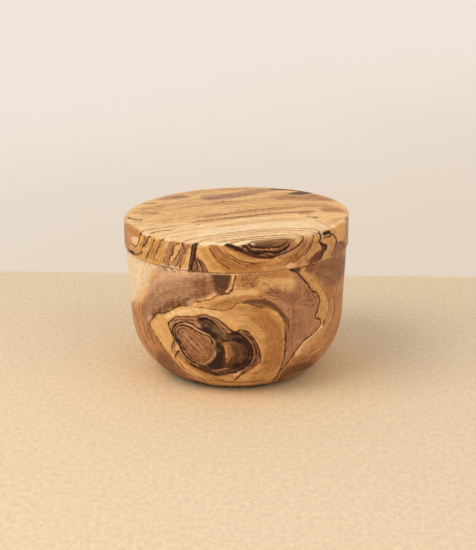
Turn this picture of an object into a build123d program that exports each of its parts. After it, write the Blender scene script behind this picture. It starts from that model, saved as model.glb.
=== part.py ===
"""Turned olive-wood salt keeper with a thick disc lid that swings sideways on a hidden pin.

Frame: millimetres, +Z up, the origin at the middle of the foot, on the surface that the keeper
stands on. The front, where a magnet holds the lid shut, faces -Y. The lid's pivot is at the back,
at +Y.
"""

from build123d import *
import os

# Turned bowl, outside
rim_diameter = 106.5
bowl_height = 63.3
shoulder_diameter = 102.8  # where the tapered wall ends and the round shoulder begins
shoulder_height = 28.5
foot_diameter = 63.6
rim_edge_radius = 0.5
foot_edge_radius = 0.8

# Hollow turned into the bowl
rim_width = 10.0
cavity_shoulder_diameter = 83.4
cavity_shoulder_height = 31.5
cavity_floor_diameter = 40.0
floor_thickness = 9.0
mouth_edge_radius = 1.2

# Shallow hollow under the foot, so that the bowl stands on a ring
recess_diameter = 46.0
recess_depth = 1.2

# Disc lid
lid_overhang = 0.75  # how far its edge stands out past the rim, all round
lid_thickness = 13.6
lid_top_edge_radius = 0.9
lid_under_edge_radius = 0.5
seam_gap = 0.3  # between the rim and the lid's underside

# Pivot: a dowel pin pressed into the lid, turning in a sleeve pressed into the rim
pin_diameter = 5.0
pin_depth_in_lid = 9.6
pin_depth_in_rim = 16.0
pin_end_chamfer = 0.5
running_clearance = 0.04  # on the radius, between pin and sleeve
sleeve_wall = 0.9
sleeve_length = 17.0
sleeve_lead_in = 0.3
bore_end_room = 1.0  # empty depth below the sleeve
washer_diameter = 9.0
washer_clearance = 0.15  # on the radius, round the pin

# Catch: a disc magnet in the lid over one in the rim
magnet_diameter = 6.0
magnet_thickness = 3.0
magnet_edge_radius = 0.25
glue_clearance = 0.05  # on the radius, round each magnet

# Two heights nearer to each other than this are taken as one height
same_height = 0.001

# Heights and radii that follow from those sizes
rim_radius = rim_diameter / 2
lid_radius = rim_radius + lid_overhang
mouth_radius = rim_radius - rim_width
pivot_radius = rim_radius - rim_width / 2
lid_underside = bowl_height + seam_gap
magnet_proud = seam_gap / 2  # each magnet stands this far out, so that the two meet
magnet_pocket_depth = magnet_thickness - magnet_proud
sleeve_radius = pin_diameter / 2 + running_clearance + sleeve_wall

pivot_place = Pos(0, pivot_radius, 0)
catch_place = Pos(0, -pivot_radius, 0)


def turned_side(mouth, shoulder, bottom):
    """The outline of one turned wall: a straight taper, then an arc tangent to it."""
    taper = Vector(*shoulder) - Vector(*mouth)
    Line(mouth, shoulder)
    TangentArc(shoulder, bottom, tangent=taper)


def upright_cylinder(radius, height, bottom):
    """A cylinder along Z that stands on the height given as bottom."""
    base = Pos(0, 0, bottom)
    return base * Cylinder(radius, height, align=(Align.CENTER, Align.CENTER, Align.MIN))


def circles_at(solid, height):
    """The solid's round edges at one height, the smallest first."""
    circles = solid.edges().filter_by(GeomType.CIRCLE)
    level = circles.filter_by_position(Axis.Z, height - same_height, height + same_height)
    return level.sort_by(SortBy.RADIUS)


def turned_blank():
    """The bowl as it comes off the lathe, before the rim is drilled."""
    foot_radius = foot_diameter / 2
    recess_radius = recess_diameter / 2
    with BuildPart() as blank:
        with BuildSketch(Plane.XZ):
            with BuildLine():
                turned_side(
                    (rim_radius, bowl_height),
                    (shoulder_diameter / 2, shoulder_height),
                    (foot_radius, 0),
                )
                Line((foot_radius, 0), (recess_radius, 0))
                TangentArc((0, recess_depth), (recess_radius, 0), tangent=(1, 0))
                Line((0, recess_depth), (0, floor_thickness))
                Line((0, floor_thickness), (cavity_floor_diameter / 2, floor_thickness))
                turned_side(
                    (mouth_radius, bowl_height),
                    (cavity_shoulder_diameter / 2, cavity_shoulder_height),
                    (cavity_floor_diameter / 2, floor_thickness),
                )
                Line((mouth_radius, bowl_height), (rim_radius, bowl_height))
            make_face()
        revolve(axis=Axis.Z)
    solid = blank.part
    mouth_edge, rim_edge = circles_at(solid, bowl_height)
    solid = fillet(mouth_edge, mouth_edge_radius)
    solid = fillet(circles_at(solid, bowl_height)[-1], rim_edge_radius)
    return fillet(circles_at(solid, 0)[-1], foot_edge_radius)


def bowl():
    """The turned bowl, with the bore for the sleeve and the pocket for the rim's magnet."""
    bore_depth = sleeve_length + bore_end_room
    bore = upright_cylinder(sleeve_radius, bore_depth, bowl_height - bore_depth)
    pocket = magnet_pocket(bowl_height - magnet_pocket_depth)
    return turned_blank() - pivot_place * bore - catch_place * pocket


def lid():
    """The disc lid, with the blind hole for the pin and the pocket for the lid's magnet."""
    disc = upright_cylinder(lid_radius, lid_thickness, lid_underside)
    lid_top = lid_underside + lid_thickness
    disc = fillet(circles_at(disc, lid_top), lid_top_edge_radius)
    disc = fillet(circles_at(disc, lid_underside), lid_under_edge_radius)
    pin_hole = upright_cylinder(pin_diameter / 2, pin_depth_in_lid, lid_underside)
    pocket = magnet_pocket(lid_underside)
    return disc - pivot_place * pin_hole - catch_place * pocket


def pivot_pin():
    """The steel dowel pin, chamfered at both ends."""
    length = pin_depth_in_lid + seam_gap + pin_depth_in_rim
    pin = upright_cylinder(pin_diameter / 2, length, bowl_height - pin_depth_in_rim)
    return pivot_place * chamfer(pin.edges().filter_by(GeomType.CIRCLE), pin_end_chamfer)


def pivot_sleeve():
    """The brass sleeve that the pin turns in, flush with the rim, with a lead-in at its mouth."""
    foot = bowl_height - sleeve_length
    bore_radius = pin_diameter / 2 + running_clearance
    tube = upright_cylinder(sleeve_radius, sleeve_length, foot)
    tube -= upright_cylinder(bore_radius, sleeve_length, foot)
    mouth = circles_at(tube, bowl_height)[0]
    return pivot_place * chamfer(mouth, sleeve_lead_in)


def pivot_washer():
    """The thin washer round the pin that fills the seam and carries the lid."""
    hole_radius = pin_diameter / 2 + washer_clearance
    disc = upright_cylinder(washer_diameter / 2, seam_gap, bowl_height)
    return pivot_place * (disc - upright_cylinder(hole_radius, seam_gap, bowl_height))


def magnet_pocket(bottom):
    """The flat-bottomed hole that one magnet is glued into, as a solid to cut with."""
    return upright_cylinder(magnet_diameter / 2 + glue_clearance, magnet_pocket_depth, bottom)


def magnet(bottom):
    """One disc magnet with rounded edges, standing on the height given as bottom."""
    disc = upright_cylinder(magnet_diameter / 2, magnet_thickness, bottom)
    return catch_place * fillet(disc.edges().filter_by(GeomType.CIRCLE), magnet_edge_radius)


def write_parts():
    """Writes one STEP file for each piece."""
    pieces = {
        "bowl": bowl(),
        "lid": lid(),
        "pivot_pin": pivot_pin(),
        "pivot_sleeve": pivot_sleeve(),
        "pivot_washer": pivot_washer(),
        "rim_magnet": magnet(bowl_height - magnet_pocket_depth),
        "lid_magnet": magnet(lid_underside - magnet_proud),
    }
    os.makedirs("parts", exist_ok=True)
    for name, piece in pieces.items():
        export_step(piece, f"parts/{name}.step")


write_parts()
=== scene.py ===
"""Dresses an olive-wood salt keeper: its turned bowl, its swivel lid and the fittings between them.

Blender's lengths are metres. Everything about the wood's figure is in millimetres. The front faces
-Y, and an angle round the keeper is measured from the front, in degrees, positive to the right.
"""

import logging
import math
from dataclasses import dataclass, field
from enum import Enum
from functools import cache
from typing import Iterator, Sequence

import bpy
import numpy as np
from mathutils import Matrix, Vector


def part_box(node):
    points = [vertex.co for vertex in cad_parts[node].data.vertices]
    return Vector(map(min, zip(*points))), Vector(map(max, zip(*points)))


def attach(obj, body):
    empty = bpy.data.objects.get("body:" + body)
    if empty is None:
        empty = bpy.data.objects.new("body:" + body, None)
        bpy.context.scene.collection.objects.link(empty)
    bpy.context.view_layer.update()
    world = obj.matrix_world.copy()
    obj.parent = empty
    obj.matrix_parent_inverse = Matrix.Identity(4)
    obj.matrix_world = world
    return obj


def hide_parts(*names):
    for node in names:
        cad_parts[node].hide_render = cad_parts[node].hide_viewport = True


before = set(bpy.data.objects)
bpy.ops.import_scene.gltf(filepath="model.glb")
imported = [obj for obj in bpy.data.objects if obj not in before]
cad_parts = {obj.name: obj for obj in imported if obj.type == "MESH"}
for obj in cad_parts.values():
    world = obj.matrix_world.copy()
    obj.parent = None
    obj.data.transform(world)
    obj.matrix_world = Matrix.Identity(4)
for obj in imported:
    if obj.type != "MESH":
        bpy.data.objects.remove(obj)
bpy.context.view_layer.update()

log = logging.getLogger("salt_keeper")

MM = 0.001
Spot = tuple[float, float]
Shade = tuple[int, int, int]


class Tone(Enum):
    """The wood's colours, written as red, green and blue from 0 to 255."""

    CHALK = (250, 228, 200)
    CREAM = (240, 212, 172)
    STRAW = (240, 198, 142)
    HONEY = (232, 181, 118)
    GOLD = (220, 166, 98)
    AMBER = (206, 150, 92)
    OCHRE = (186, 126, 66)
    OLIVE = (132, 98, 52)
    ROSE = (208, 163, 127)
    TAN = (192, 142, 100)
    COPPER = (200, 140, 90)
    RUSSET = (172, 113, 66)
    SMOKE = (180, 128, 88)
    CHESTNUT = (142, 94, 62)
    UMBER = (118, 75, 44)
    COCOA = (96, 61, 40)
    COAL = (48, 31, 21)

    @property
    def linear(self) -> tuple[float, float, float, float]:
        """Return the colour as a shader takes it."""
        return linear(self.value)


# The tones by their own names, in the order of the class
(
    CHALK, CREAM, STRAW, HONEY, GOLD, AMBER, OCHRE, OLIVE, ROSE,
    TAN, COPPER, RUSSET, SMOKE, CHESTNUT, UMBER, COCOA, COAL,
) = Tone


def linear(colour: Sequence[float]) -> tuple[float, float, float, float]:
    """Turn a written 0-255 colour into the linear one that a shader takes."""
    parts = [value / 255 for value in colour]
    light = [p / 12.92 if p <= 0.04045 else ((p + 0.055) / 1.055) ** 2.4 for p in parts]
    return light[0], light[1], light[2], 1.0


@cache
def lowest(node: str) -> float:
    """Return the height of a node's lowest point."""
    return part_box(node)[0][2]


@cache
def highest(node: str) -> float:
    """Return the height of a node's highest point."""
    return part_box(node)[1][2]


def smooth(share: np.ndarray) -> np.ndarray:
    """Ease a share from 0 to 1, level at both ends."""
    share = np.clip(share, 0, 1)
    return share * share * (3 - 2 * share)


# ---------------------------------------------------------------------------------------------
# Camera


@dataclass(frozen=True)
class Sight:
    """The camera's geometry, which finds where a place in its picture falls on the wood.

    Places in the picture are in units of its 476 x 550 frame, across and down.
    """

    target: tuple[float, float, float] = (0.0, 0.0, 0.038)
    distance: float = 0.687
    elevation: float = 17.79
    roll: float = 0.48
    focal: float = 1402.0
    centre: Spot = (236.8, 290.9)
    frame_size: tuple[int, int] = (476, 550)

    def axes(self) -> tuple[np.ndarray, np.ndarray, np.ndarray, np.ndarray]:
        """Find where the camera is and how it is turned.

        Returns:
            The eye in metres, and the right, up and forward directions.
        """
        tilt = math.radians(self.elevation)
        forward = np.array((0.0, math.cos(tilt), -math.sin(tilt)))
        right = np.array((1.0, 0.0, 0.0))
        up = np.cross(right, forward)
        eye = np.array(self.target) - self.distance * forward
        return eye, right, up, forward

    def rays(self, spots: np.ndarray) -> tuple[np.ndarray, np.ndarray]:
        """Find the lines of sight through places in the picture.

        Args:
            spots: The places, one row each.

        Returns:
            The eye in millimetres, and one unit direction for each place.
        """
        eye, right, up, forward = self.axes()
        across, down = (spots - np.array(self.centre)).T
        turn = math.radians(self.roll)
        u = math.cos(turn) * across - math.sin(turn) * down
        v = math.sin(turn) * across + math.cos(turn) * down
        rays = forward + np.outer(u / self.focal, right) - np.outer(v / self.focal, up)
        return eye / MM, rays / np.linalg.norm(rays, axis=1, keepdims=True)

    def set_up(self) -> None:
        """Create the camera that sees this picture."""
        data = bpy.data.cameras.new("camera")
        camera = bpy.data.objects.new("camera", data)
        bpy.context.scene.collection.objects.link(camera)
        eye, _, _, forward = self.axes()
        aim = Vector(forward).to_track_quat("-Z", "Y").to_matrix().to_4x4()
        aim.translation = Vector(eye)
        turn = aim.Rotation(-math.radians(self.roll), 4, "Z")
        camera.matrix_world = aim @ turn
        long_side = max(self.frame_size)
        data.sensor_width = 36.0
        data.lens = data.sensor_width * self.focal / long_side
        data.shift_x = (self.frame_size[0] / 2 - self.centre[0]) / long_side
        data.shift_y = (self.centre[1] - self.frame_size[1] / 2) / long_side
        data.clip_start = 0.01
        data.clip_end = 10.0
        bpy.context.scene.camera = camera


# ---------------------------------------------------------------------------------------------
# Turned pieces

SMOOTH_UP_TO = math.radians(35)  # edges sharper than this stay crisp
MERGE_WITHIN = 0.002 * MM  # points nearer than this are one point
GLUE_ROOM = 0.02 * MM  # on the radius, round each fitting
HOLE_FACETS = 64


@dataclass
class Outline:
    """The half section of a turned piece, drawn as a chain of short edges at +X."""

    name: str
    radius: float
    height: float

    def begin(self) -> bpy.types.Object:
        """Place the first point and leave it selected in edit mode."""
        bpy.ops.object.select_all(action="DESELECT")
        bpy.ops.mesh.primitive_plane_add(size=MM, location=(0, 0, 0))
        piece = bpy.context.object
        piece.name = piece.data.name = self.name
        bpy.ops.object.mode_set(mode="EDIT")
        bpy.ops.mesh.select_all(action="SELECT")
        bpy.ops.mesh.merge(type="CENTER")
        bpy.ops.transform.translate(value=(self.radius, 0, self.height))
        return piece

    def run_to(self, radius: float, height: float, step: float) -> None:
        """Draw a straight run.

        Args:
            radius: The end's distance from the axis.
            height: The end's height.
            step: The longest edge along the run.
        """
        length = math.hypot(radius - self.radius, height - self.height)
        edges = max(1, math.ceil(length / step))
        move = ((radius - self.radius) / edges, 0, (height - self.height) / edges)
        for _ in range(edges):
            bpy.ops.mesh.extrude_region_move(TRANSFORM_OT_translate={"value": move})
        self.radius, self.height = radius, height

    def sweep_to(self, radius: float, height: float, centre: Spot, step: float) -> None:
        """Draw an arc.

        Args:
            radius: The end's distance from the axis.
            height: The end's height.
            centre: The arc's centre, as a distance from the axis and a height.
            step: The longest edge along the arc.
        """
        start = math.atan2(self.height - centre[1], self.radius - centre[0])
        end = math.atan2(height - centre[1], radius - centre[0])
        angle = (end - start + math.pi) % math.tau - math.pi
        length = abs(angle) * math.hypot(radius - centre[0], height - centre[1])
        bpy.ops.mesh.spin(
            steps=max(2, math.ceil(length / step)),
            angle=angle,
            center=(centre[0], 0, centre[1]),
            axis=(0, 1, 0),
        )
        self.radius, self.height = radius, height


@dataclass
class Lathe:
    """Turns an outline into a solid, with fine facets at the front and coarser ones behind."""

    front_steps: int
    back_steps: int
    on_axis: float = 0.05 * MM

    def turn(self, piece: bpy.types.Object) -> None:
        """Turn the outline all the way round and close it at the axis.

        Args:
            piece: The outline, which becomes the solid.
        """
        bpy.ops.object.mode_set(mode="OBJECT")
        for corner in piece.data.vertices:
            if corner.co.x < self.on_axis:
                corner.co.x = 0.0
        back = piece.copy()
        back.data = piece.data.copy()
        bpy.context.scene.collection.objects.link(back)
        self._half_turn(piece, -math.pi, self.front_steps)
        self._half_turn(back, math.pi, self.back_steps)
        bpy.ops.object.select_all(action="DESELECT")
        back.select_set(True)
        piece.select_set(True)
        bpy.context.view_layer.objects.active = piece
        bpy.ops.object.join()
        bpy.ops.object.mode_set(mode="EDIT")
        bpy.ops.mesh.select_all(action="SELECT")
        bpy.ops.mesh.remove_doubles(threshold=MERGE_WITHIN)
        bpy.ops.mesh.normals_make_consistent(inside=False)
        bpy.ops.object.mode_set(mode="OBJECT")

    @staticmethod
    def _half_turn(piece: bpy.types.Object, angle: float, steps: int) -> None:
        """Turn an outline through half a turn, as a lathe modifier does.

        Args:
            piece: The outline.
            angle: The turn, which sets its direction.
            steps: How many facets it gets.
        """
        bpy.ops.object.select_all(action="DESELECT")
        piece.select_set(True)
        bpy.context.view_layer.objects.active = piece
        lathe = piece.modifiers.new("lathe", "SCREW")
        lathe.axis = "Z"
        lathe.angle = angle
        lathe.steps = lathe.render_steps = steps
        lathe.use_merge_vertices = True
        lathe.merge_threshold = MERGE_WITHIN
        bpy.ops.object.modifier_apply(modifier=lathe.name)


def drill(piece: bpy.types.Object, node: str, bottom: float, top: float) -> None:
    """Drill an upright blind hole round the place of a fitting.

    Args:
        piece: The solid to drill.
        node: The fitting that the hole is for, which gives its place and its width.
        bottom: The height of the drill's lower end.
        top: The height of its upper end.
    """
    low, high = (Vector(corner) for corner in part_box(node))
    middle = (low + high) / 2
    bpy.ops.object.select_all(action="DESELECT")
    bpy.ops.mesh.primitive_cylinder_add(
        vertices=HOLE_FACETS,
        radius=(high.x - low.x) / 2 + GLUE_ROOM,
        depth=top - bottom,
        location=(middle.x, middle.y, (top + bottom) / 2),
    )
    tool = bpy.context.object
    bpy.context.view_layer.objects.active = piece
    cut = piece.modifiers.new("drilling", "BOOLEAN")
    cut.operation = "DIFFERENCE"
    cut.solver = "MANIFOLD"
    cut.object = tool
    bpy.ops.object.modifier_apply(modifier=cut.name)
    bpy.data.objects.remove(tool)


@dataclass
class Bowl:
    """The turned bowl: tapered wall, round shoulder, dished foot and a hollow of the same form."""

    rim_radius: float = 53.25 * MM
    shoulder_radius: float = 51.4 * MM
    shoulder_height: float = 28.5 * MM
    foot_radius: float = 31.8 * MM
    recess_radius: float = 23.0 * MM
    recess_depth: float = 1.2 * MM
    rim_width: float = 10.0 * MM
    cavity_shoulder_radius: float = 41.7 * MM
    cavity_shoulder_height: float = 31.5 * MM
    cavity_floor_radius: float = 20.0 * MM
    floor_thickness: float = 9.0 * MM
    rim_edge: float = 0.5 * MM
    mouth_edge: float = 1.2 * MM
    bore_end_room: float = 1.0 * MM
    fine: float = 0.47 * MM
    coarse: float = 2.6 * MM
    lathe: Lathe = field(default_factory=lambda: Lathe(front_steps=352, back_steps=84))

    @property
    def height(self) -> float:
        """Return the rim's height."""
        return highest("bowl")

    @staticmethod
    def shoulder_centre(top: Spot, shoulder: Spot, bottom: Spot) -> Spot:
        """Find the centre of the arc that leaves a tapered wall smoothly.

        Args:
            top: Where the wall starts, as a distance from the axis and a height.
            shoulder: Where the arc leaves the wall.
            bottom: Where the arc ends.

        Returns:
            The arc's centre.
        """
        wall = np.subtract(shoulder, top)
        inward = np.array((wall[1], -wall[0])) / np.hypot(*wall)
        chord = np.subtract(bottom, shoulder)
        reach = chord @ chord / (2 * chord @ inward)
        centre = np.add(shoulder, reach * inward)
        return float(centre[0]), float(centre[1])

    @property
    def outer_centre(self) -> Spot:
        """Return the centre of the outside shoulder's arc."""
        return self.shoulder_centre(
            (self.rim_radius, self.height),
            (self.shoulder_radius, self.shoulder_height),
            (self.foot_radius, 0.0),
        )

    def outer_radius(self, height: np.ndarray) -> np.ndarray:
        """Return the outside radius at each height.

        Args:
            height: Heights above the foot.

        Returns:
            The distances from the axis.
        """
        centre = self.outer_centre
        reach = math.hypot(self.foot_radius - centre[0], centre[1])
        rise = (height - self.shoulder_height) / (self.height - self.shoulder_height)
        wall = self.shoulder_radius + rise * (self.rim_radius - self.shoulder_radius)
        drop = np.clip(height, 0, self.shoulder_height) - centre[1]
        shoulder = centre[0] + np.sqrt(np.maximum(reach**2 - drop**2, 0))
        return np.where(height > self.shoulder_height, wall, shoulder)

    def build(self) -> bpy.types.Object:
        """Turn the bowl and drill its rim.

        Returns:
            The bowl's object.
        """
        top = self.height
        dish = (self.recess_radius**2 - self.recess_depth**2) / (2 * self.recess_depth)
        mouth = self.rim_radius - self.rim_width
        outline = Outline("bowl_wood", 0.0, self.recess_depth)
        piece = outline.begin()
        outline.sweep_to(self.recess_radius, 0.0, (self.recess_radius, dish), self.coarse)
        outline.run_to(self.foot_radius, 0.0, self.coarse)
        shoulder = (self.shoulder_radius, self.shoulder_height)
        outline.sweep_to(*shoulder, self.outer_centre, self.fine)
        outline.run_to(self.rim_radius, top - self.rim_edge, self.fine)
        eased = (self.rim_radius - self.rim_edge, top - self.rim_edge)
        outline.sweep_to(self.rim_radius - self.rim_edge, top, eased, self.fine / 2)
        outline.run_to(mouth + self.mouth_edge, top, self.coarse)
        eased = (mouth + self.mouth_edge, top - self.mouth_edge)
        outline.sweep_to(mouth, top - self.mouth_edge, eased, self.fine)
        cavity = (self.cavity_shoulder_radius, self.cavity_shoulder_height)
        outline.run_to(*cavity, self.coarse)
        floor = (self.cavity_floor_radius, self.floor_thickness)
        centre = self.shoulder_centre((mouth, top), cavity, floor)
        outline.sweep_to(*floor, centre, self.coarse)
        outline.run_to(0.0, self.floor_thickness, self.coarse)
        self.lathe.turn(piece)
        drill(piece, "pivot_sleeve", lowest("pivot_sleeve") - self.bore_end_room, top + MM)
        drill(piece, "rim_magnet", lowest("rim_magnet"), top + MM)
        bpy.ops.object.shade_smooth_by_angle(angle=SMOOTH_UP_TO)
        return piece


@dataclass
class Lid:
    """The thick disc lid with eased edges."""

    top_edge: float = 0.9 * MM
    under_edge: float = 0.5 * MM
    fine: float = 0.45 * MM
    middling: float = 0.62 * MM
    coarse: float = 3.0 * MM
    top_slope: float = 0.0192
    lathe: Lathe = field(default_factory=lambda: Lathe(front_steps=352, back_steps=150))

    @property
    def radius(self) -> float:
        """Return the lid's radius."""
        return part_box("lid")[1][0]

    @property
    def underside(self) -> float:
        """Return the height of the lid's underside."""
        return lowest("lid")

    @property
    def top(self) -> float:
        """Return the height of the lid's top."""
        return highest("lid")

    def build(self) -> bpy.types.Object:
        """Turn the lid and drill its underside.

        Returns:
            The lid's object.
        """
        under, over = self.under_edge, self.top_edge
        side = self.radius
        outline = Outline("lid_wood", 0.0, self.underside)
        piece = outline.begin()
        outline.run_to(side - under, self.underside, self.coarse)
        eased = (side - under, self.underside + under)
        outline.sweep_to(side, self.underside + under, eased, self.fine / 2)
        outline.run_to(side, self.top - over, self.fine)
        eased = (side - over, self.top - over)
        outline.sweep_to(side - over, self.top, eased, self.fine / 2)
        outline.run_to(0.0, self.top, self.middling)
        self.lathe.turn(piece)
        bottom, top = self.underside, self.top
        for corner in piece.data.vertices:
            share = (corner.co.z - bottom) / (top - bottom)
            corner.co.z += share * self.top_slope * corner.co.x
        for node in ("pivot_pin", "lid_magnet"):
            drill(piece, node, bottom - MM, highest(node))
        bpy.ops.object.shade_smooth_by_angle(angle=SMOOTH_UP_TO)
        return piece


# ---------------------------------------------------------------------------------------------
# Skins: where a place in the picture, or round the keeper, falls on the wood


@dataclass(frozen=True)
class BowlSkin:
    """The outside of the bowl, in millimetres."""

    bowl: Bowl

    def radius(self, height: np.ndarray) -> np.ndarray:
        """Return the outside radius at each height."""
        return self.bowl.outer_radius(height * MM) / MM

    def holds(self, points: np.ndarray) -> np.ndarray:
        """Tell which points of the piece lie on the skin."""
        out = np.hypot(points[:, 0], points[:, 1])
        return out > self.radius(points[:, 2]) - 0.6

    def seen(self, sight: Sight, spots: np.ndarray) -> np.ndarray:
        """Find the places that the camera sees at places in its picture.

        Args:
            sight: The camera's geometry.
            spots: Places in the picture; one beside the bowl goes to its nearest edge.

        Returns:
            Points on the skin, one row each.
        """
        eye, rays = sight.rays(spots)
        reach = np.arange(sight.distance / MM - 80, sight.distance / MM + 60, 0.7)
        along = eye + reach[None, :, None] * rays[:, None, :]
        top = self.bowl.height / MM
        gap = np.hypot(along[..., 0], along[..., 1])
        gap = gap - self.radius(np.clip(along[..., 2], 0, top))
        inside = gap < 0
        first = np.where(inside.any(1), inside.argmax(1), gap.argmin(1))
        first = np.clip(first, 1, len(reach) - 1)
        row = np.arange(len(spots))
        before, after = gap[row, first - 1], gap[row, first]
        span = np.where(inside.any(1), before - after, 1.0)
        share = np.where(inside.any(1), before / np.where(span == 0, 1, span), 1.0)
        depth = reach[first - 1] + share * (reach[first] - reach[first - 1])
        points = eye + depth[:, None] * rays
        angle = np.degrees(np.arctan2(points[:, 0], -points[:, 1]))
        return self.around(np.stack((angle, points[:, 2]), 1))

    def around(self, spots: np.ndarray) -> np.ndarray:
        """Find the places at angles round the bowl and heights above its foot."""
        height = np.clip(spots[:, 1], 0, self.bowl.height / MM)
        angle = np.radians(spots[:, 0])
        out = self.radius(height)
        return np.stack((out * np.sin(angle), -out * np.cos(angle), height), 1)

    def normal(self, points: np.ndarray) -> np.ndarray:
        """Return the outward direction at each point."""
        slope = (self.radius(points[:, 2] + 0.05) - self.radius(points[:, 2] - 0.05)) / 0.1
        out = np.hypot(points[:, 0], points[:, 1])
        normal = np.stack((points[:, 0] / out, points[:, 1] / out, -slope), 1)
        return normal / np.linalg.norm(normal, axis=1, keepdims=True)

    def flat(self, points: np.ndarray) -> np.ndarray:
        """Unroll points of the skin into a plane."""
        heights = np.linspace(0, self.bowl.height / MM, 400)
        run = run_along(np.stack((self.radius(heights), heights), 1))
        run = np.interp(points[:, 2], heights, run)
        turn = np.arctan2(points[:, 0], -points[:, 1])
        return np.stack((turn * self.bowl.rim_radius / MM, run), 1)


@dataclass(frozen=True)
class LidSkin:
    """The top and side of the lid, in millimetres."""

    lid: Lid

    def holds(self, points: np.ndarray) -> np.ndarray:
        """Tell which points of the piece lie on the skin."""
        out = np.hypot(points[:, 0], points[:, 1])
        on_side = out > (self.lid.radius - 1.2 * self.lid.under_edge) / MM
        return on_side | (points[:, 2] > self.top(points) - 0.1)

    def top(self, points: np.ndarray) -> np.ndarray:
        """Return the height of the lid's top over each point."""
        return self.lid.top / MM + self.lid.top_slope * points[:, 0]

    def seen(self, sight: Sight, spots: np.ndarray) -> np.ndarray:
        """Find the places that the camera sees at places in its picture.

        Args:
            sight: The camera's geometry.
            spots: Places in the picture; one beside the lid goes to its nearest edge.

        Returns:
            Points on the skin, one row each.
        """
        eye, rays = sight.rays(spots)
        side = self.lid.radius / MM
        level = rays[:, :2]
        a, b = (level**2).sum(1), level @ eye[:2]
        c = (eye[:2] ** 2).sum() - side**2
        reach = (-b - np.sqrt(np.maximum(b * b - a * c, 0))) / a
        on_side = eye + reach[:, None] * rays
        slope = np.array((self.lid.top_slope, 0.0, -1.0))
        height = np.array((0, 0, self.lid.top / MM))
        over = ((height - eye) @ slope) / (rays @ slope)
        on_top = eye + over[:, None] * rays
        above = on_side[:, 2] > self.top(on_side)
        points = np.where(above[:, None], on_top, on_side)
        out = np.hypot(points[:, 0], points[:, 1])
        points[:, :2] *= np.minimum(1, side / out)[:, None]
        points[:, 2] = np.clip(points[:, 2], self.lid.underside / MM, self.top(points))
        return points

    def around(self, spots: np.ndarray) -> np.ndarray:
        """Find the places on the side at angles round the lid and heights above the foot."""
        angle = np.radians(spots[:, 0])
        side = self.lid.radius / MM
        return np.stack((side * np.sin(angle), -side * np.cos(angle), spots[:, 1]), 1)

    def normal(self, points: np.ndarray) -> np.ndarray:
        """Return the outward direction at each point."""
        upright = points[:, 2] > self.top(points) - 0.3
        normal = np.stack((points[:, 0], points[:, 1], np.zeros(len(points))), 1)
        normal[upright] = (0, 0, 1)
        return normal / np.linalg.norm(normal, axis=1, keepdims=True)

    def flat(self, points: np.ndarray) -> np.ndarray:
        """Unroll points of the skin into a plane, with the side laid out round the top."""
        out = np.hypot(points[:, 0], points[:, 1])
        laid = out + np.maximum(self.top(points) - points[:, 2], 0)
        return points[:, :2] * (laid / np.maximum(out, 0.01))[:, None]


Skin = BowlSkin | LidSkin


# ---------------------------------------------------------------------------------------------
# Figure: drawn marks, painted into the mesh


def places(path: str) -> np.ndarray:
    """Read a path, which is a place and then the step to each next one, into a row for each place."""
    steps = np.array([pair.split(",") for pair in path.split()], float)
    return steps.cumsum(axis=0).round(2)


def run_along(line: np.ndarray) -> np.ndarray:
    """Measure how far along a line each of its points is."""
    return np.concatenate(((0,), np.cumsum(np.linalg.norm(np.diff(line, axis=0), axis=1))))


def spaced(line: np.ndarray, run: np.ndarray, count: int) -> np.ndarray:
    """Place evenly spaced points along a line."""
    even = np.linspace(0, run[-1], count)
    return np.stack([np.interp(even, run, part) for part in line.T], 1)


def drawn(path: str, closed: bool, step: float) -> np.ndarray:
    """Draw a smooth line through the places of a path.

    Args:
        path: The path.
        closed: Whether the line runs back to its start.
        step: The longest distance between points of the line.

    Returns:
        The line's points, one row each.
    """
    points = places(path)
    if closed:
        points = np.vstack((points[-1:], points, points[:2]))
    else:
        ends = 2 * points[0] - points[1], 2 * points[-1] - points[-2]
        points = np.vstack((ends[0], points, ends[1]))
    line = []
    for a, b, c, d in zip(points, points[1:], points[2:], points[3:]):
        ab, bc, cd = (math.sqrt(max(math.hypot(*(q - p)), 1e-6)) for p, q in ((a, b), (b, c), (c, d)))
        leave = bc * ((b - a) / ab - (c - a) / (ab + bc) + (c - b) / bc)
        arrive = bc * ((c - b) / bc - (d - b) / (bc + cd) + (d - c) / cd)
        t = np.linspace(0, 1, max(2, math.ceil(math.hypot(*(c - b)) / step)), endpoint=False)[:, None]
        line.append(
            (2 * t**3 - 3 * t**2 + 1) * b
            + (t**3 - 2 * t**2 + t) * leave
            + (3 * t**2 - 2 * t**3) * c
            + (t**3 - t**2) * arrive
        )
    if not closed:
        line.append(points[-2:-1])
    return np.vstack(line)


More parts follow.
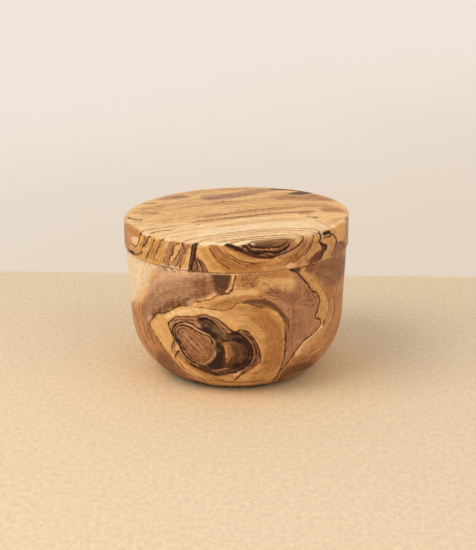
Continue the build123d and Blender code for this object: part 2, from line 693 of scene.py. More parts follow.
class Board:
    """The skin of one piece, laid open for drawing: its mesh points and what is drawn on them."""

    channels = 10
    ring_sets = 3
    quiet = (9.0, 0.0, 0.0, 0.3)

    def __init__(self, piece: bpy.types.Object, skin: Skin, sight: Sight) -> None:
        """Read the piece's mesh points.

        Args:
            piece: The finished mesh.
            skin: The form of its outside.
            sight: The camera's geometry.
        """
        self.piece, self.skin, self.sight = piece, skin, sight
        corners = np.zeros(3 * len(piece.data.vertices))
        piece.data.vertices.foreach_get("co", corners)
        corners = corners.reshape(-1, 3) / MM
        self.where = np.flatnonzero(skin.holds(corners))
        self.points = corners[self.where]
        self.flat = skin.flat(self.points)
        self.colour = np.tile(np.array(HONEY.value) / 255, (len(self.points), 1))
        self.drawn_over = np.zeros(len(self.points))
        self.flecks = np.zeros(len(self.points))
        self.veins = np.tile(np.array(self.quiet), (self.channels, len(self.points), 1))
        self.taken = np.zeros((self.channels, len(self.points)), bool)
        self.rings = np.zeros((self.ring_sets, len(self.points), 4))
        self.crowded = 0
        self.ragged = self.uneven(3.2, 5) + 0.7 * self.uneven(1.5, 6)

    def uneven(self, size: float, seed: int) -> np.ndarray:
        """Make a value that wanders round 0 over the skin.

        Args:
            size: How wide its swells are.
            seed: The number that its random draws start from.

        Returns:
            The value at each mesh point.
        """
        chance = np.random.default_rng(seed)
        total = np.zeros(len(self.points))
        for _ in range(8):
            way = chance.normal(size=3)
            way *= chance.uniform(0.7, 1.5) * math.tau / size / np.linalg.norm(way)
            total += np.sin(self.points @ way + chance.uniform(0, math.tau))
        return total / 4

    def laid(self, flat: np.ndarray, around: bool = False) -> np.ndarray:
        """Lay a drawn line on the skin, with its points an even 0.3 mm apart.

        Args:
            flat: The line's points.
            around: Whether they are angles and heights, not places in the picture.

        Returns:
            The line's points in space.
        """
        line = self.skin.around(flat) if around else self.skin.seen(self.sight, flat)
        run = run_along(line)
        return spaced(line, run, max(4, round(run[-1] / 0.3)))

    def near(self, line: np.ndarray, reach: float) -> tuple[np.ndarray, np.ndarray, np.ndarray]:
        """Measure the mesh points beside a line.

        Args:
            line: The line's points in space.
            reach: How far from the line to look.

        Returns:
            The mesh points' numbers, how far each lies to the line's right, and how far along
            the line's length it is, as a share that passes 0 or 1 beyond the ends.
        """
        low, high = line.min(0) - reach, line.max(0) + reach
        picked = np.flatnonzero(((self.points > low) & (self.points < high)).all(1))
        ahead = np.gradient(line, axis=0)
        ahead /= np.maximum(np.linalg.norm(ahead, axis=1, keepdims=True), 1e-9)
        beside = np.cross(ahead, self.skin.normal(line))
        run = run_along(line)
        keep, off, share = [], [], []
        for chunk in np.array_split(picked, max(1, len(picked) * len(line) // 2_000_000)):
            here = self.points[chunk]
            square = (here**2).sum(1)[:, None] + (line**2).sum(1) - 2 * here @ line.T
            nearest = square.argmin(1)
            away = here - line[nearest]
            forward = (away * ahead[nearest]).sum(1)
            sideways = (away * beside[nearest]).sum(1)
            distance = np.sqrt(np.maximum(square.min(1), 0))
            close = distance < reach
            keep.append(chunk[close])
            past = np.where((nearest == 0) | (nearest == len(line) - 1), forward, 0)
            side = np.where(sideways < 0, -1.0, 1.0)
            true = np.hypot(sideways, (away * self.skin.normal(line[nearest])).sum(1) * 0.3)
            off.append((side * true)[close])
            share.append(((run[nearest] + past) / run[-1])[close])
        return np.concatenate(keep), np.concatenate(off), np.concatenate(share)

    def inside(self, outline: np.ndarray) -> np.ndarray:
        """Tell which mesh points a closed outline holds.

        Args:
            outline: The outline's points in space.

        Returns:
            True for each mesh point inside it.
        """
        corners = self.skin.flat(outline)[::2]
        nexts = np.roll(corners, -1, axis=0)
        held = np.zeros(len(self.flat), bool)
        low, high = corners.min(0), corners.max(0)
        picked = np.flatnonzero(((self.flat >= low) & (self.flat <= high)).all(1))
        x, y = self.flat[picked].T
        odd = np.zeros(len(picked), bool)
        for (ax, ay), (bx, by) in zip(corners, nexts):
            if ay == by:
                continue
            crosses = (ay > y) != (by > y)
            odd ^= crosses & (x < (bx - ax) * (y - ay) / (by - ay) + ax)
        held[picked] = odd
        return held

    def tint(self, where: np.ndarray, strength: np.ndarray, tone: Tone) -> None:
        """Mix a tone into the colour of some mesh points.

        Args:
            where: The mesh points' numbers.
            strength: How much of the tone each takes, from 0 to 1.
            tone: The tone.
        """
        amount = np.clip(strength, 0, 1)
        cover = self.drawn_over[where] + amount * (1 - self.drawn_over[where])
        share = (amount / np.maximum(cover, 1e-6))[:, None]
        self.drawn_over[where] = cover
        self.colour[where] += share * (np.array(tone.value) / 255 - self.colour[where])

    def engrave(self, line: np.ndarray, width: float, depth: float, soft: float, tip: Spot) -> None:
        """Draw one crisp vein into the first channel with room for it.

        Args:
            line: The line's points in space.
            width: The vein's width.
            depth: How dark it is, from 0 to 1, or how pale, from 0 to -1.
            soft: How wide its edges' blur is.
            tip: The shares of the length over which it thins out at its start and its end.
        """
        half = width / 2
        where, off, share = self.near(line, half + soft + 0.75)
        room = [c for c in range(self.channels) if not self.taken[c, where].any()]
        if not room:
            self.crowded += 1
            self.tint(where, abs(depth) * smooth(1.2 - np.abs(off) / (half + 0.4)), COAL)
            return
        start, end = (max(part, 0.004) for part in tip)
        taper = smooth(share / start + 0.15) * smooth((1 - share) / end + 0.15)
        fade = smooth((half + soft + 0.55 - np.abs(off)) / 0.3)
        channel = self.veins[room[0]]
        channel[where, 0] = off
        channel[where, 1] = half * (0.35 + 0.65 * taper)
        channel[where, 2] = depth * taper * fade
        channel[where, 3] = soft
        self.taken[room[0], where] = True

    def away(self, where: np.ndarray, line: np.ndarray) -> np.ndarray:
        """Measure how far some mesh points are from a line.

        Args:
            where: The mesh points' numbers.
            line: The line's points in space.

        Returns:
            The distances.
        """
        parts = np.array_split(self.points[where], max(1, len(where) * len(line) // 2_000_000))
        square = [
            ((part**2).sum(1)[:, None] + (line**2).sum(1) - 2 * part @ line.T).min(1) for part in parts
        ]
        return np.sqrt(np.maximum(np.concatenate(square), 0))

    def grow(self, where: np.ndarray, phase: np.ndarray, strength: np.ndarray, width: float) -> None:
        """Grow fine rings in the first set with room for them.

        Args:
            where: The mesh points' numbers.
            phase: How many rings lie before each point.
            strength: How dark the rings are there, or how pale if below zero.
            width: How much of each ring is dark, from 0 to 1.
        """
        solid = where[np.abs(strength) > 0.02]
        room = [k for k in range(self.ring_sets) if not self.rings[k, solid, 1].any()]
        if not room:
            self.crowded += 1
            return
        rings = self.rings[room[0]]
        fresh = rings[where, 1] == 0
        rings[where[fresh], 0] = phase[fresh]
        rings[where[fresh], 1] = strength[fresh]
        rings[where[fresh], 2] = width

    def finish(self) -> None:
        """Write what is drawn into the mesh's attributes."""
        low = self.colour / 12.92
        light = np.where(self.colour <= 0.04045, low, ((self.colour + 0.055) / 1.055) ** 2.4)
        self._write("figure", np.column_stack((light, self.drawn_over)))
        self._write("marks", self.flecks[:, None])
        for number, rings in enumerate(self.rings):
            self._write(f"rings_{number}", rings)
        for number, channel in enumerate(self.veins):
            self._write(f"vein_{number}", channel, self.quiet)
        log.info("%s: %d veins had no room", self.piece.name, self.crowded)

    def _write(self, name: str, values: np.ndarray, rest: Sequence[float] = (0, 0, 0, 0)) -> None:
        """Write one colour attribute, with rest for the points that aren't on the skin."""
        attribute = self.piece.data.attributes.new(name, "FLOAT_COLOR", "POINT")
        every = np.tile(np.array(rest, np.float32), (len(attribute.data), 1))
        every[self.where, : values.shape[1]] = values
        attribute.data.foreach_set("color", every.ravel())


@dataclass(frozen=True)
class Mark:
    """Something drawn on the wood, through places in the picture.

    Where around is set, the places are angles round the keeper and heights above its foot.
    """

    path: str
    around: bool = field(default=False, kw_only=True)

    def line(self, board: Board, closed: bool = False) -> np.ndarray:
        """Lay the line through the mark's places on the skin."""
        return board.laid(drawn(self.path, closed, 1.0 if self.around else 0.5), self.around)


@dataclass(frozen=True)
class Patch(Mark):
    """An area of one tone inside a closed outline, with an edge that blends over some width."""

    tone: Tone
    edge: float = 1.5
    strength: float = 1.0

    def draw(self, board: Board) -> None:
        """Draw the patch."""
        outline = self.line(board, closed=True)
        held = board.inside(outline)
        share = held.astype(float)
        where, off, _ = board.near(outline[::2], self.edge)
        off = np.where(held[where], 1, -1) * np.abs(off)
        off += (0.12 + 0.28 * self.edge) * board.ragged[where] * (1 - np.abs(off) / self.edge)
        share[where] = 0.5 + 0.5 * off / self.edge
        board.tint(np.arange(len(share)), self.strength * smooth(share), self.tone)


@dataclass(frozen=True)
class Bare(Mark):
    """An area inside a closed outline that is left to the wood's own growth."""

    def draw(self, board: Board) -> None:
        """Clear the area."""
        held = board.inside(self.line(board, closed=True))
        board.drawn_over[held] = 0
        board.rings[:, held, 1] = 0


@dataclass(frozen=True)
class Streak(Mark):
    """A soft stroke of one tone, on both sides of a line or on one."""

    tone: Tone
    width: float = 3.0
    strength: float = 0.5
    side: int = 0

    def draw(self, board: Board) -> None:
        """Draw the streak."""
        where, off, share = board.near(self.line(board), self.width)
        amount = smooth(1 - np.abs(off) / self.width + 0.22 * board.ragged[where])
        if self.side:
            amount *= smooth(0.5 + self.side * off / 0.6)
        amount *= smooth(share / 0.08) * smooth((1 - share) / 0.08)
        board.tint(where, self.strength * amount, self.tone)


@dataclass(frozen=True)
class Blot(Mark):
    """A soft oval of one tone."""

    tone: Tone
    size: tuple[float, float] = (4.0, 4.0)
    strength: float = 0.6
    turn: float = 0.0

    def draw(self, board: Board) -> None:
        """Draw the oval."""
        for place in board.skin.seen(board.sight, places(self.path)):
            out = board.skin.normal(place[None])[0]
            across = np.cross((0.0, 0.0, 1.0), out) if abs(out[2]) < 0.95 else np.array((1.0, 0, 0))
            across = across / np.linalg.norm(across)
            up = np.cross(out, across)
            away = board.points - place
            a, b = away @ across, away @ up
            turn = math.radians(self.turn)
            along = (a * math.cos(turn) + b * math.sin(turn)) / self.size[0]
            beside = (b * math.cos(turn) - a * math.sin(turn)) / self.size[1]
            out_of_oval = np.sqrt(along**2 + beside**2 + (away @ out / 8) ** 2)
            amount = smooth(1 - out_of_oval + 0.25 * board.ragged * (out_of_oval < 1.2))
            where = np.flatnonzero(amount)
            board.tint(where, self.strength * amount[where], self.tone)


@dataclass(frozen=True)
class Vein(Mark):
    """A crisp line of the figure, dark or, where its depth is negative, pale."""

    width: float = 0.6
    depth: float = 0.85
    soft: float = 0.25
    tip: Spot = (0.12, 0.12)

    def draw(self, board: Board) -> None:
        """Draw the vein."""
        board.engrave(self.line(board), self.width, self.depth, self.soft, self.tip)


@dataclass(frozen=True)
class Family(Mark):
    """Lines that pass from one drawn line to another, not quite evenly spaced."""

    last: str

    def lines(
        self, board: Board, count: int, chance: np.random.Generator
    ) -> Iterator[np.ndarray]:
        """Draw the lines.

        Args:
            board: The skin that they are laid on.
            count: How many there are.
            chance: Where their unevenness comes from.

        Yields:
            Each line's points in space.
        """
        ends = []
        for path in (self.path, self.last):
            line = drawn(path, False, 0.4)
            ends.append(spaced(line, run_along(line), 120))
        gaps = np.cumsum(chance.uniform(0.6, 1.4, count + 1))
        flats = []
        for share in gaps[:-1] / gaps[-1]:
            flat = ends[0] + share * (ends[1] - ends[0])
            flat[:, 1] += 0.25 * np.sin(np.linspace(0, 9, 120) + chance.uniform(0, 6))
            flats.append(flat)
        yield from map(board.laid, flats)


@dataclass(frozen=True)
class Sheaf(Family):
    """A family of veins."""

    count: int = 4
    width: float = 0.5
    depth: float = 0.6
    soft: float = 0.25
    seed: int = 1

    def draw(self, board: Board) -> None:
        """Draw the family."""
        chance = np.random.default_rng(self.seed)
        for line in self.lines(board, self.count, chance):
            width = self.width * chance.uniform(0.7, 1.25)
            depth = self.depth * chance.uniform(0.7, 1.2)
            board.engrave(line, width, depth, self.soft, (0.15, 0.15))


@dataclass(frozen=True)
class Bands(Family):
    """A family of soft bands of one tone."""

    tone: Tone
    count: int = 6
    width: float = 1.2
    strength: float = 0.5
    seed: int = 1

    def draw(self, board: Board) -> None:
        """Draw the bands, each with a strength that comes and goes along it."""
        chance = np.random.default_rng(self.seed)
        for line in self.lines(board, self.count, chance):
            width = self.width * chance.uniform(0.6, 1.4)
            where, off, share = board.near(line, width)
            amount = smooth(1.15 - np.abs(off) / width + 0.3 * board.ragged[where])
            amount *= chance.uniform(0.6, 1.0)
            amount *= 0.72 + 0.28 * np.sin(share * chance.uniform(6, 16) + chance.uniform(0, 6))
            amount *= smooth(share / 0.12) * smooth((1 - share) / 0.12)
            board.tint(where, self.strength * amount, self.tone)


@dataclass(frozen=True)
class Specks(Mark):
    """Short dark pores inside a closed outline."""

    edge: float = 3.0
    strength: float = 1.0

    def draw(self, board: Board) -> None:
        """Scatter the pores."""
        outline = self.line(board, closed=True)
        held = board.inside(outline)
        share = held.astype(float)
        where, off, _ = board.near(outline, self.edge)
        share[where] = 0.5 + 0.5 * np.where(held[where], 1, -1) * np.abs(off) / self.edge
        board.flecks = np.maximum(board.flecks, self.strength * smooth(share))


@dataclass(frozen=True)
class Rings(Mark):
    """Fine growth lines that fill the space between two drawn lines."""

    last: str
    count: int = 8
    strength: float = 0.5
    width: float = 0.4
    closed: bool = False
    fade: float = 3.0

    def draw(self, board: Board) -> None:
        """Draw the lines, which fade out toward both ends."""
        first = self.line(board, self.closed)
        last = board.laid(drawn(self.last, self.closed, 0.5))
        if self.closed:
            held = board.inside(first) & ~board.inside(last)
        else:
            held = board.inside(np.vstack((first, last[::-1])))
        where = np.flatnonzero(held)
        before, after = board.away(where, first[::2]), board.away(where, last[::2])
        amount = smooth(np.minimum(before, after) / 0.7)
        if not self.closed:
            for end in (0, -1):
                amount *= smooth(board.away(where, np.linspace(first[end], last[end], 12)) / self.fade)
        phase = self.count * before / (before + after) + 0.5
        board.grow(where, phase + 40 * self.count, self.strength * amount, self.width)


Figure = dict[str, Mark]


# ---------------------------------------------------------------------------------------------
# The figure of the bowl and of the lid, in the order of drawing. A path is a place in the camera's
# picture, unless it is marked around, and then the step to each next place. After a mark's paths
# come its own values, in the order of its class.

BOWL_GROUND: Figure = dict(
    left_flank=Patch("112,286 28,-2 10,12 8,15 -9,14 11,20 18,23 28,17 -18,11 -43,-28 -27,-38", COPPER, 3),
    # Pale sapwood at the bowl's upper left; part of its cream is a painted sheen from the light on the left.
    sapwood_and_sheen=Patch("108,238 19,12 19,11 14,5 -6,6 -8,18 -12,13 -22,-3", CREAM, 3.5),
    sapwood_edge=Streak("158,270 -7,9 -3,10 -9,10 -6,7", HONEY, 3.4, 0.7),
    heartwood=Patch("153,277 7,-7 30,1 26,3 0,14 3,6 -13,6 -13,3 -3,5 -12,-1 -12,6 -12,3 -5,8 -4,-12", ROSE,
        2.4),
    heartwood_deep=Patch("150,306 8,-14 14,-7 14,-4 12,-9 18,0 1,18 -12,9 -12,3 -3,6 -12,-2 -12,6 -12,3", TAN,
        4.5, 0.6),
    upper_field=Patch("234,268 55,-2 4,9 4,9 -6,10 -15,11 -14,-5 -18,1 -12,7 -20,2 -21,-2 3,-6 18,-5 17,-3 "
        "6,-10", AMBER, 1),
    yellow_field=Patch("191,307 21,2 19,-1 12,-5 14,5 19,3 8,15 0,26 -5,19 -11,13 -32,6 -29,-5 -18,-10.5 "
        "-19,-18.5 -14,-19 -6,-12 4,-8.5 12,-3 12,-7.5", GOLD, 0.7),
    middle_zone=Patch("289,266 14,14 13,13 4,7 -4,16 4,8 -17,18 -13,18 -12,16 6,-24 1,-24 2,-12 -13,-12 "
        "14,-12 7,-11", SMOKE, 1.6),
    right_flank=Patch("320,264 30,-14 2,70 -14,32 -26,26 -28,10 -7,-12 15,-21 12,-14 16,-14 7,-11 3,-16 "
        "-8,-16", COPPER, 2),
    golden_band=Patch("298,270 12,3 10,10 6,11 2.5,12 -2.5,11 -5,8 -4,-8 3,-15 -7,-14 -10,-11", AMBER, 1.2),
    brown_cap=Patch("306,264 14,-6 19,-8 8,12 -4,14 -7,10 -9,3 -8,-8 -7,-9", CHESTNUT, 2.6, 0.85),
)

BOWL_HEARTWOOD: Figure = dict(
    flank_streaks=Bands("136,298 3,16 7,22 14,21 20,17", "148,298 -1,16 2,16 9,16 14,18", UMBER, 7, 1.1, 0.18,
        seed=21),
    flank_lights=Bands("133,296 4,20 8,24 15,20", "142,296 1,16 5,20 12,20", HONEY, 4, 1.1, 0.65, seed=22),
    arcs=Bands("139,322 4,-20 11,-16 16,-8 20,-2 22,2", "151,318 6,-10 10,-4 11,-3 14,-2 12,-1", UMBER, 13,
        0.6, 0.34, seed=23),
    deep_arcs=Bands("156,310 12,-8 14,-3 16,-3", "152,316 8,-3 22,-9", COCOA, 5, 0.8, 0.75, seed=25),
    pale_at_the_seam=Blot("172,275", ROSE, (13, 5), 0.8),
    pale_at_the_seam_two=Blot("186,273", STRAW, (11, 3), 0.4),
    brown_by_the_block=Blot("205,286", CHESTNUT, (9, 8), 0.95),
    brown_below=Streak("194,299 8,-4 8,-3", UMBER, 2.4),
    ember_tick=Streak("151.5,279 3.5,-1.4 4,-1.2", COPPER, 0.9, 0.8),
    ember_tick_two=Streak("150,283 4,-2", COPPER, 0.7, 0.6),
    smoke_by_the_contour=Streak("190,304.6 -9,-1.1 -9,3 -6,3.5 -9,1.5 -5,5.5", UMBER, 2.2, 0.75),
    smoke_by_the_side=Streak("150,320 -1,7 8,14 11,15 10,11", CHESTNUT, 2.2, 0.75),
    low_dark=Patch("158,352 10,5 8,9 14,11 16,7 -10,6 -24,-11 -12,-13", CHESTNUT, 2.6, 0.85),
    low_dark_lights=Bands("158,360 14,12 18,10", "164,357 14,13 16,9.6", COPPER, 3, 0.7, 0.75, seed=26),
    dark_block=Patch("214,271 18,0 -1,10 -3,10 -3,2.4 -8,-0.4 -4,-9", COCOA, 1.3),
    block_light=Blot("220,290", CHESTNUT, (3, 2), 0.5),
    strip_by_the_block=Patch("232.4,271 2.6,0 -1.6,10 -5.4,11.4 -2.4,-0.2 3.8,-5.2 2,-7", HONEY, 0.35),
    wedge=Patch("205.4,300 1.6,-3 3.5,-2.4 7,-0.4 -4.1,3.2 -4,2.4", HONEY, 0.5),
    nick=Patch("192,307 2,-4 3,-0.6 -2,4", HONEY, 0.4),
    heartwood_arcs=Rings("138,324 3,-22 12,-17 17,-8 20,-2 24,1", "151,320 6,-11 21,-8 14,-2 13,-2", 11, 0.6,
        0.5),
    heartwood_top=Rings("150,284 14,-10 26,-2 22,0", "142,300 12,-15 18,-8 20,-1.6", 6, -0.35, 0.5),
    flank_lines=Rings("130,300 6,20 10,25 16,20 24,17", "149,300 -1,15 2,15 9,17 17,19", 6, 0.65, 0.5),
    sapwood_lines=Rings("128,252 3,20 -1,28", "150,264 -3,18 -11,18", 7, 0.18, 0.5),
)

BOWL_FIELDS: Figure = dict(
    field_streaks=Bands("186,309.6 20,1.4 22,3 22,6 18,12", "230,309 16,-2 16,5 14,10 4,16", OCHRE, 9, 1.2,
        0.75, seed=31),
    field_columns=Bands("262,334 3,16 -3,16", "282,326 1,22 -5,22", OCHRE, 7, 1.2, 0.8, seed=33),
    field_light=Streak("165,317 17,-5 22,-1 18,4.6", STRAW, 3.2, 0.9),
    lobe_light=Streak("157,319 3,12 10,21", HONEY, 3.4, 0.75),
    field_under_the_band=Streak("250,307.6 12,3.4 11,8 6,14 1,17", OCHRE, 3.8, 0.75),
    field_by_the_knot=Streak("236,328 10,-0.4 10,7.4 7,13 1,14", OCHRE, 2.2),
    field_low_brown=Blot("266,362", UMBER, (4.4, 3)),
    field_low_brown_two=Blot("256,373", UMBER, (5, 2), 0.5, 20),
    field_flecks=Blot("252,378.4 4,-0.8 5,-0.2 5,-5", UMBER, (1.4, 0.7), 0.7),
    field_low_pale=Streak("239,376.6 6,1.4 7,1", STRAW, 0.9, 0.8),
    field_low_pale_two=Streak("266,380 5,-1.6 5,-4.4", STRAW, 0.9, 0.8),
    foot_light=Streak("210,382.6 26,1.4 26,-2.4", HONEY, 1.6, 0.8),
    upper_glow=Patch("258,279 14,-1.6 16,-0.4 7,6 -3,7 -12,-1 -18,-1", HONEY, 2, 0.75),
    pale_gleam=Patch("232,291.4 14,-1.4 11,-0.4 2,5 -13,0.8 -16,1.6 -34,7.6 7,-3 11,-2.6", HONEY, 0.8, 0.85),
    upper_streaks=Bands("214,304 20,-5 22,-2 20,1", "206,306.6 22,0.4 15,-6.4 19,-2.6", OCHRE, 4, 0.8, 0.7,
        seed=35),
    upper_rim_streaks=Bands("238,274 24,-1.4 28,-0.6", "238,281 26,-2.6 30,-1.4", OCHRE, 5, 0.8, 0.7,
        seed=36),
    upper_rust=Blot("247,281", OCHRE, (6, 5), 0.8),
    upper_specks=Specks("239,275 19,-1 -1,10 -5,5 -11,0", 1.5),
    edge_specks=Specks("264,290 12,-4 20,6 2,12 -14,-1", 1.5, 0.9),
    column_specks=Specks("289,304 8,0 0,42 -8,4", 1, 0.9),
    far_specks=Specks("303,292 13,0 3,12 -11,4 -5,-6", 1.5, 0.8),
    upper_flecks=Blot("249.6,274.4 -5.6,11.6 8,-3.4 2,-2 2,-2.6 -13,1.4 4,8.6 6,-1.6 -7,-2.8", UMBER,
        (1.4, 0.9), 0.6, 30),
    upper_flecks_two=Blot("264,284 4,1 3,4.6 4,1 -7,2.4 -7,3.4", UMBER, (1.1, 0.8)),
    speckled_edge=Patch("266,290 8,-2.6 10,4.6 11,2 2,9 -11,0 -10,-6 -10,-1", CHESTNUT, 1.8, 0.55),
    speckles=Blot("273,291 3.6,2 3.4,-1.6 4,2.2 3,2.4 3,-1 -7,3 11,-0.6", COCOA, (1.1, 0.8), 0.4),
    above_the_band=Streak("262,297.4 10,0 10,5.6 8,10 3,13", TAN, 1.6, 0.6),
    middle_columns=Bands("298,284 1,18 -5,42", "314,296 2,14 -5,16 -11,16", CHESTNUT, 6, 0.8, 0.45, seed=37),
    middle_lights=Bands("298,288 3,16 -1,20", "312,297 2,13 -4,14", TAN, 5, 1.1, 0.7, seed=38),
    middle_dark_column=Streak("293,300 1,16 -1,16 -2,16", CHESTNUT, 1.7),
    dashes=Blot("292,309 0,5 3,-2 0.4,5 -3.4,3 -0.4,5 3.4,-1 -3,6 2.6,3 -3.2,4 1.6,5", COCOA, (0.5, 1.1),
        0.5),
    right_speckles=Blot("305,294 3,2 -1.4,3 4.4,2.4 2,-2.8 2.6,2.4 -2.6,3.6 -4,1.4", COCOA, (0.8, 0.9), 0.35),
    middle_low_light=Blot("294,345 4,-5", TAN, (1.8, 3.4)),
    dark_corner=Patch("289.6,269.6 5.4,-3.2 7,-0.8 -2.4,5.4 -2.6,1.4", COCOA, 0.5),
    golden_band_light=Streak("312,282 7,8 4.4,10 0.6,11 -2.4,8", GOLD, 1.6, 0.8),
    golden_band_rim=Streak("322,291 3.6,8 1.2,7 -1.2,7", HONEY, 0.8, 0.9),
    beside_the_golden_band=Streak("325,291 3.6,9 0.2,8 -5.8,18", CHESTNUT, 1, 0.85),
    rusty_shoulder=Patch("324,289 13,-3 3,6 -6,8 -5,-1", RUSSET, 2, 0.7),
    flank_dark_spot=Blot("323.8,322.6", COCOA, (0.9, 1.9), 0.9, -15),
    right_columns=Bands("332,296 -1,20 -5,20 -8,14", "342,290 -2,22 -6,22 -10,16", RUSSET, 6, 0.9, 0.7,
        seed=39),
    right_lights=Bands("330,300 0,14 -4,16", "336,294 0,16 -4,18", HONEY, 3, 0.8, 0.8, seed=40),
    cap_streaks=Bands("318,268 9,0 11,6", "318,278 8,6 10,-1", SMOKE, 5, 0.8, seed=41),
    cap_gleam=Blot("336.4,279", STRAW, (0.8, 1.3)),
    low_orange=Patch("322,328 5,6 -3,12 -10,9 -10,2 -4,-5 8,-10", AMBER, 2, 0.6),
    low_red=Patch("282,372 10,-12 10,-3 14,-2 2,7 -18,12 -20,10", RUSSET, 2, 0.85),
    low_right_dark=Patch("281,374 5,-6 12,-4 12,-2.4 3,3.4 -13,6 -12,5 -9,4", UMBER, 1.4, 0.85),
    low_right_streaks=Bands("286,366 14,-5 16,-7", "296,356 14,-4 12,-10", CHESTNUT, 4, 0.7, 0.6, seed=42),
    low_right_lights=Bands("296,362 14,-5 10,-7", "304,352 10,-2 8,-6", HONEY, 3, 0.6, seed=43),
    pale_under_the_contour=Patch("321.4,324 0.8,2.4 -5.2,5.6 -7,6.6 -6,4.4 -3.6,4.6 -1.4,-1 4,-5 6,-4 7,-6.6",
        STRAW, 0.45),
    pale_spot=Patch("301,342.6 3.6,-1 -0.6,3.4 -3,3 -1.4,-1", STRAW, 0.6, 0.85),
    pale_spot_two=Patch("294.6,352.6 6,-5 -0.6,4.4 -4.4,3.8", STRAW, 0.6, 0.85),
    pale_low_line=Streak("284,366.6 5,-5.6 5,-6", HONEY, 0.7, 0.7),
    field_right=Patch("258,309 12,3 12,14 2,24 -5,20 -15,14 -14,-2 14,-18 4,-20 -6,-18", OCHRE, 3, 0.4),
    field_lines=Rings("160,320 24,-6 22,1 22,6 20,7 14,14 2,16 -8,16", "190,308.6 20,1.4 22,-1 14,-4 17,6 "
        "16,13 4.6,22 -6.6,26", 7, 0.32, 0.5),
    field_low_lines=Rings("154,322 5,14 11,18 16,15", "164,320 9,28 7,10", 5, 0.3),
    upper_lines=Rings("236,271 26,-1 28,-2", "232,292 24,-4 38,-2", 9, 0.45, 0.5),
    upper_low_lines=Rings("208,302.4 24,-6.4 30,-6 32,-2", "206,308 22,-0.4 18,-7.6 16,0 16,4", 5, 0.5, 0.5),
    middle_lines=Rings("286,306 2,16 -1,24 -5,20", "319,300 -4,16 -9,22 -20,28", 11, 0.34, 0.5),
    middle_head_lines=Rings("290,272 6,12 -8,10 -8,6", "302,281 14,13 2,12 -18,2", 7, 0.45, 0.5),
    right_lines=Rings("329,298 1,16 -6,18 -18,18 -18,20", "347,284 -2,28 -8,22 -13,18 -24,26", 8, 0.65, 0.5),
    cap_lines=Rings("313,274 9,6 12,7", "314,262 16,-5 16,5", 8, 0.45, 0.5),
    band_lines=Rings("304,275 11,12 6,13 -2,16", "308,271 14,14 6,17 -5,20", 3, 0.6, 0.5),
    foot_lines=Rings("206,381 24,1 32,-2.4 18,-5.6", "210,386 26,3 32,-5 20,-6", 4, 0.6, 0.5),
    field_top_light=Streak("216,315 18,-1 18,4", HONEY, 5, 0.55),
    field_right_shade=Patch("262,318 14,6 8,16 -1,18 -8,13 -13,5 6,-26", RUSSET, 3, 0.25),
    field_clouds=Bands("238,318 14,8 10,16 1,18 -7,14", "262,313 14,11 7,20 0,16 -8,12", RUSSET, 5, 1.9, 0.42,
        seed=31),
    right_browns=Bands("331,284 3,16 -3,20 -11,20", "341,280 1,20 -4,20 -10,22", RUSSET, 4, 1.3, seed=32),
    right_golds=Bands("332,286 4,16 -4,20 -10,20", "341,282 0,20 -4,20 -9,20", STRAW, 3, 0.9, seed=33),
)

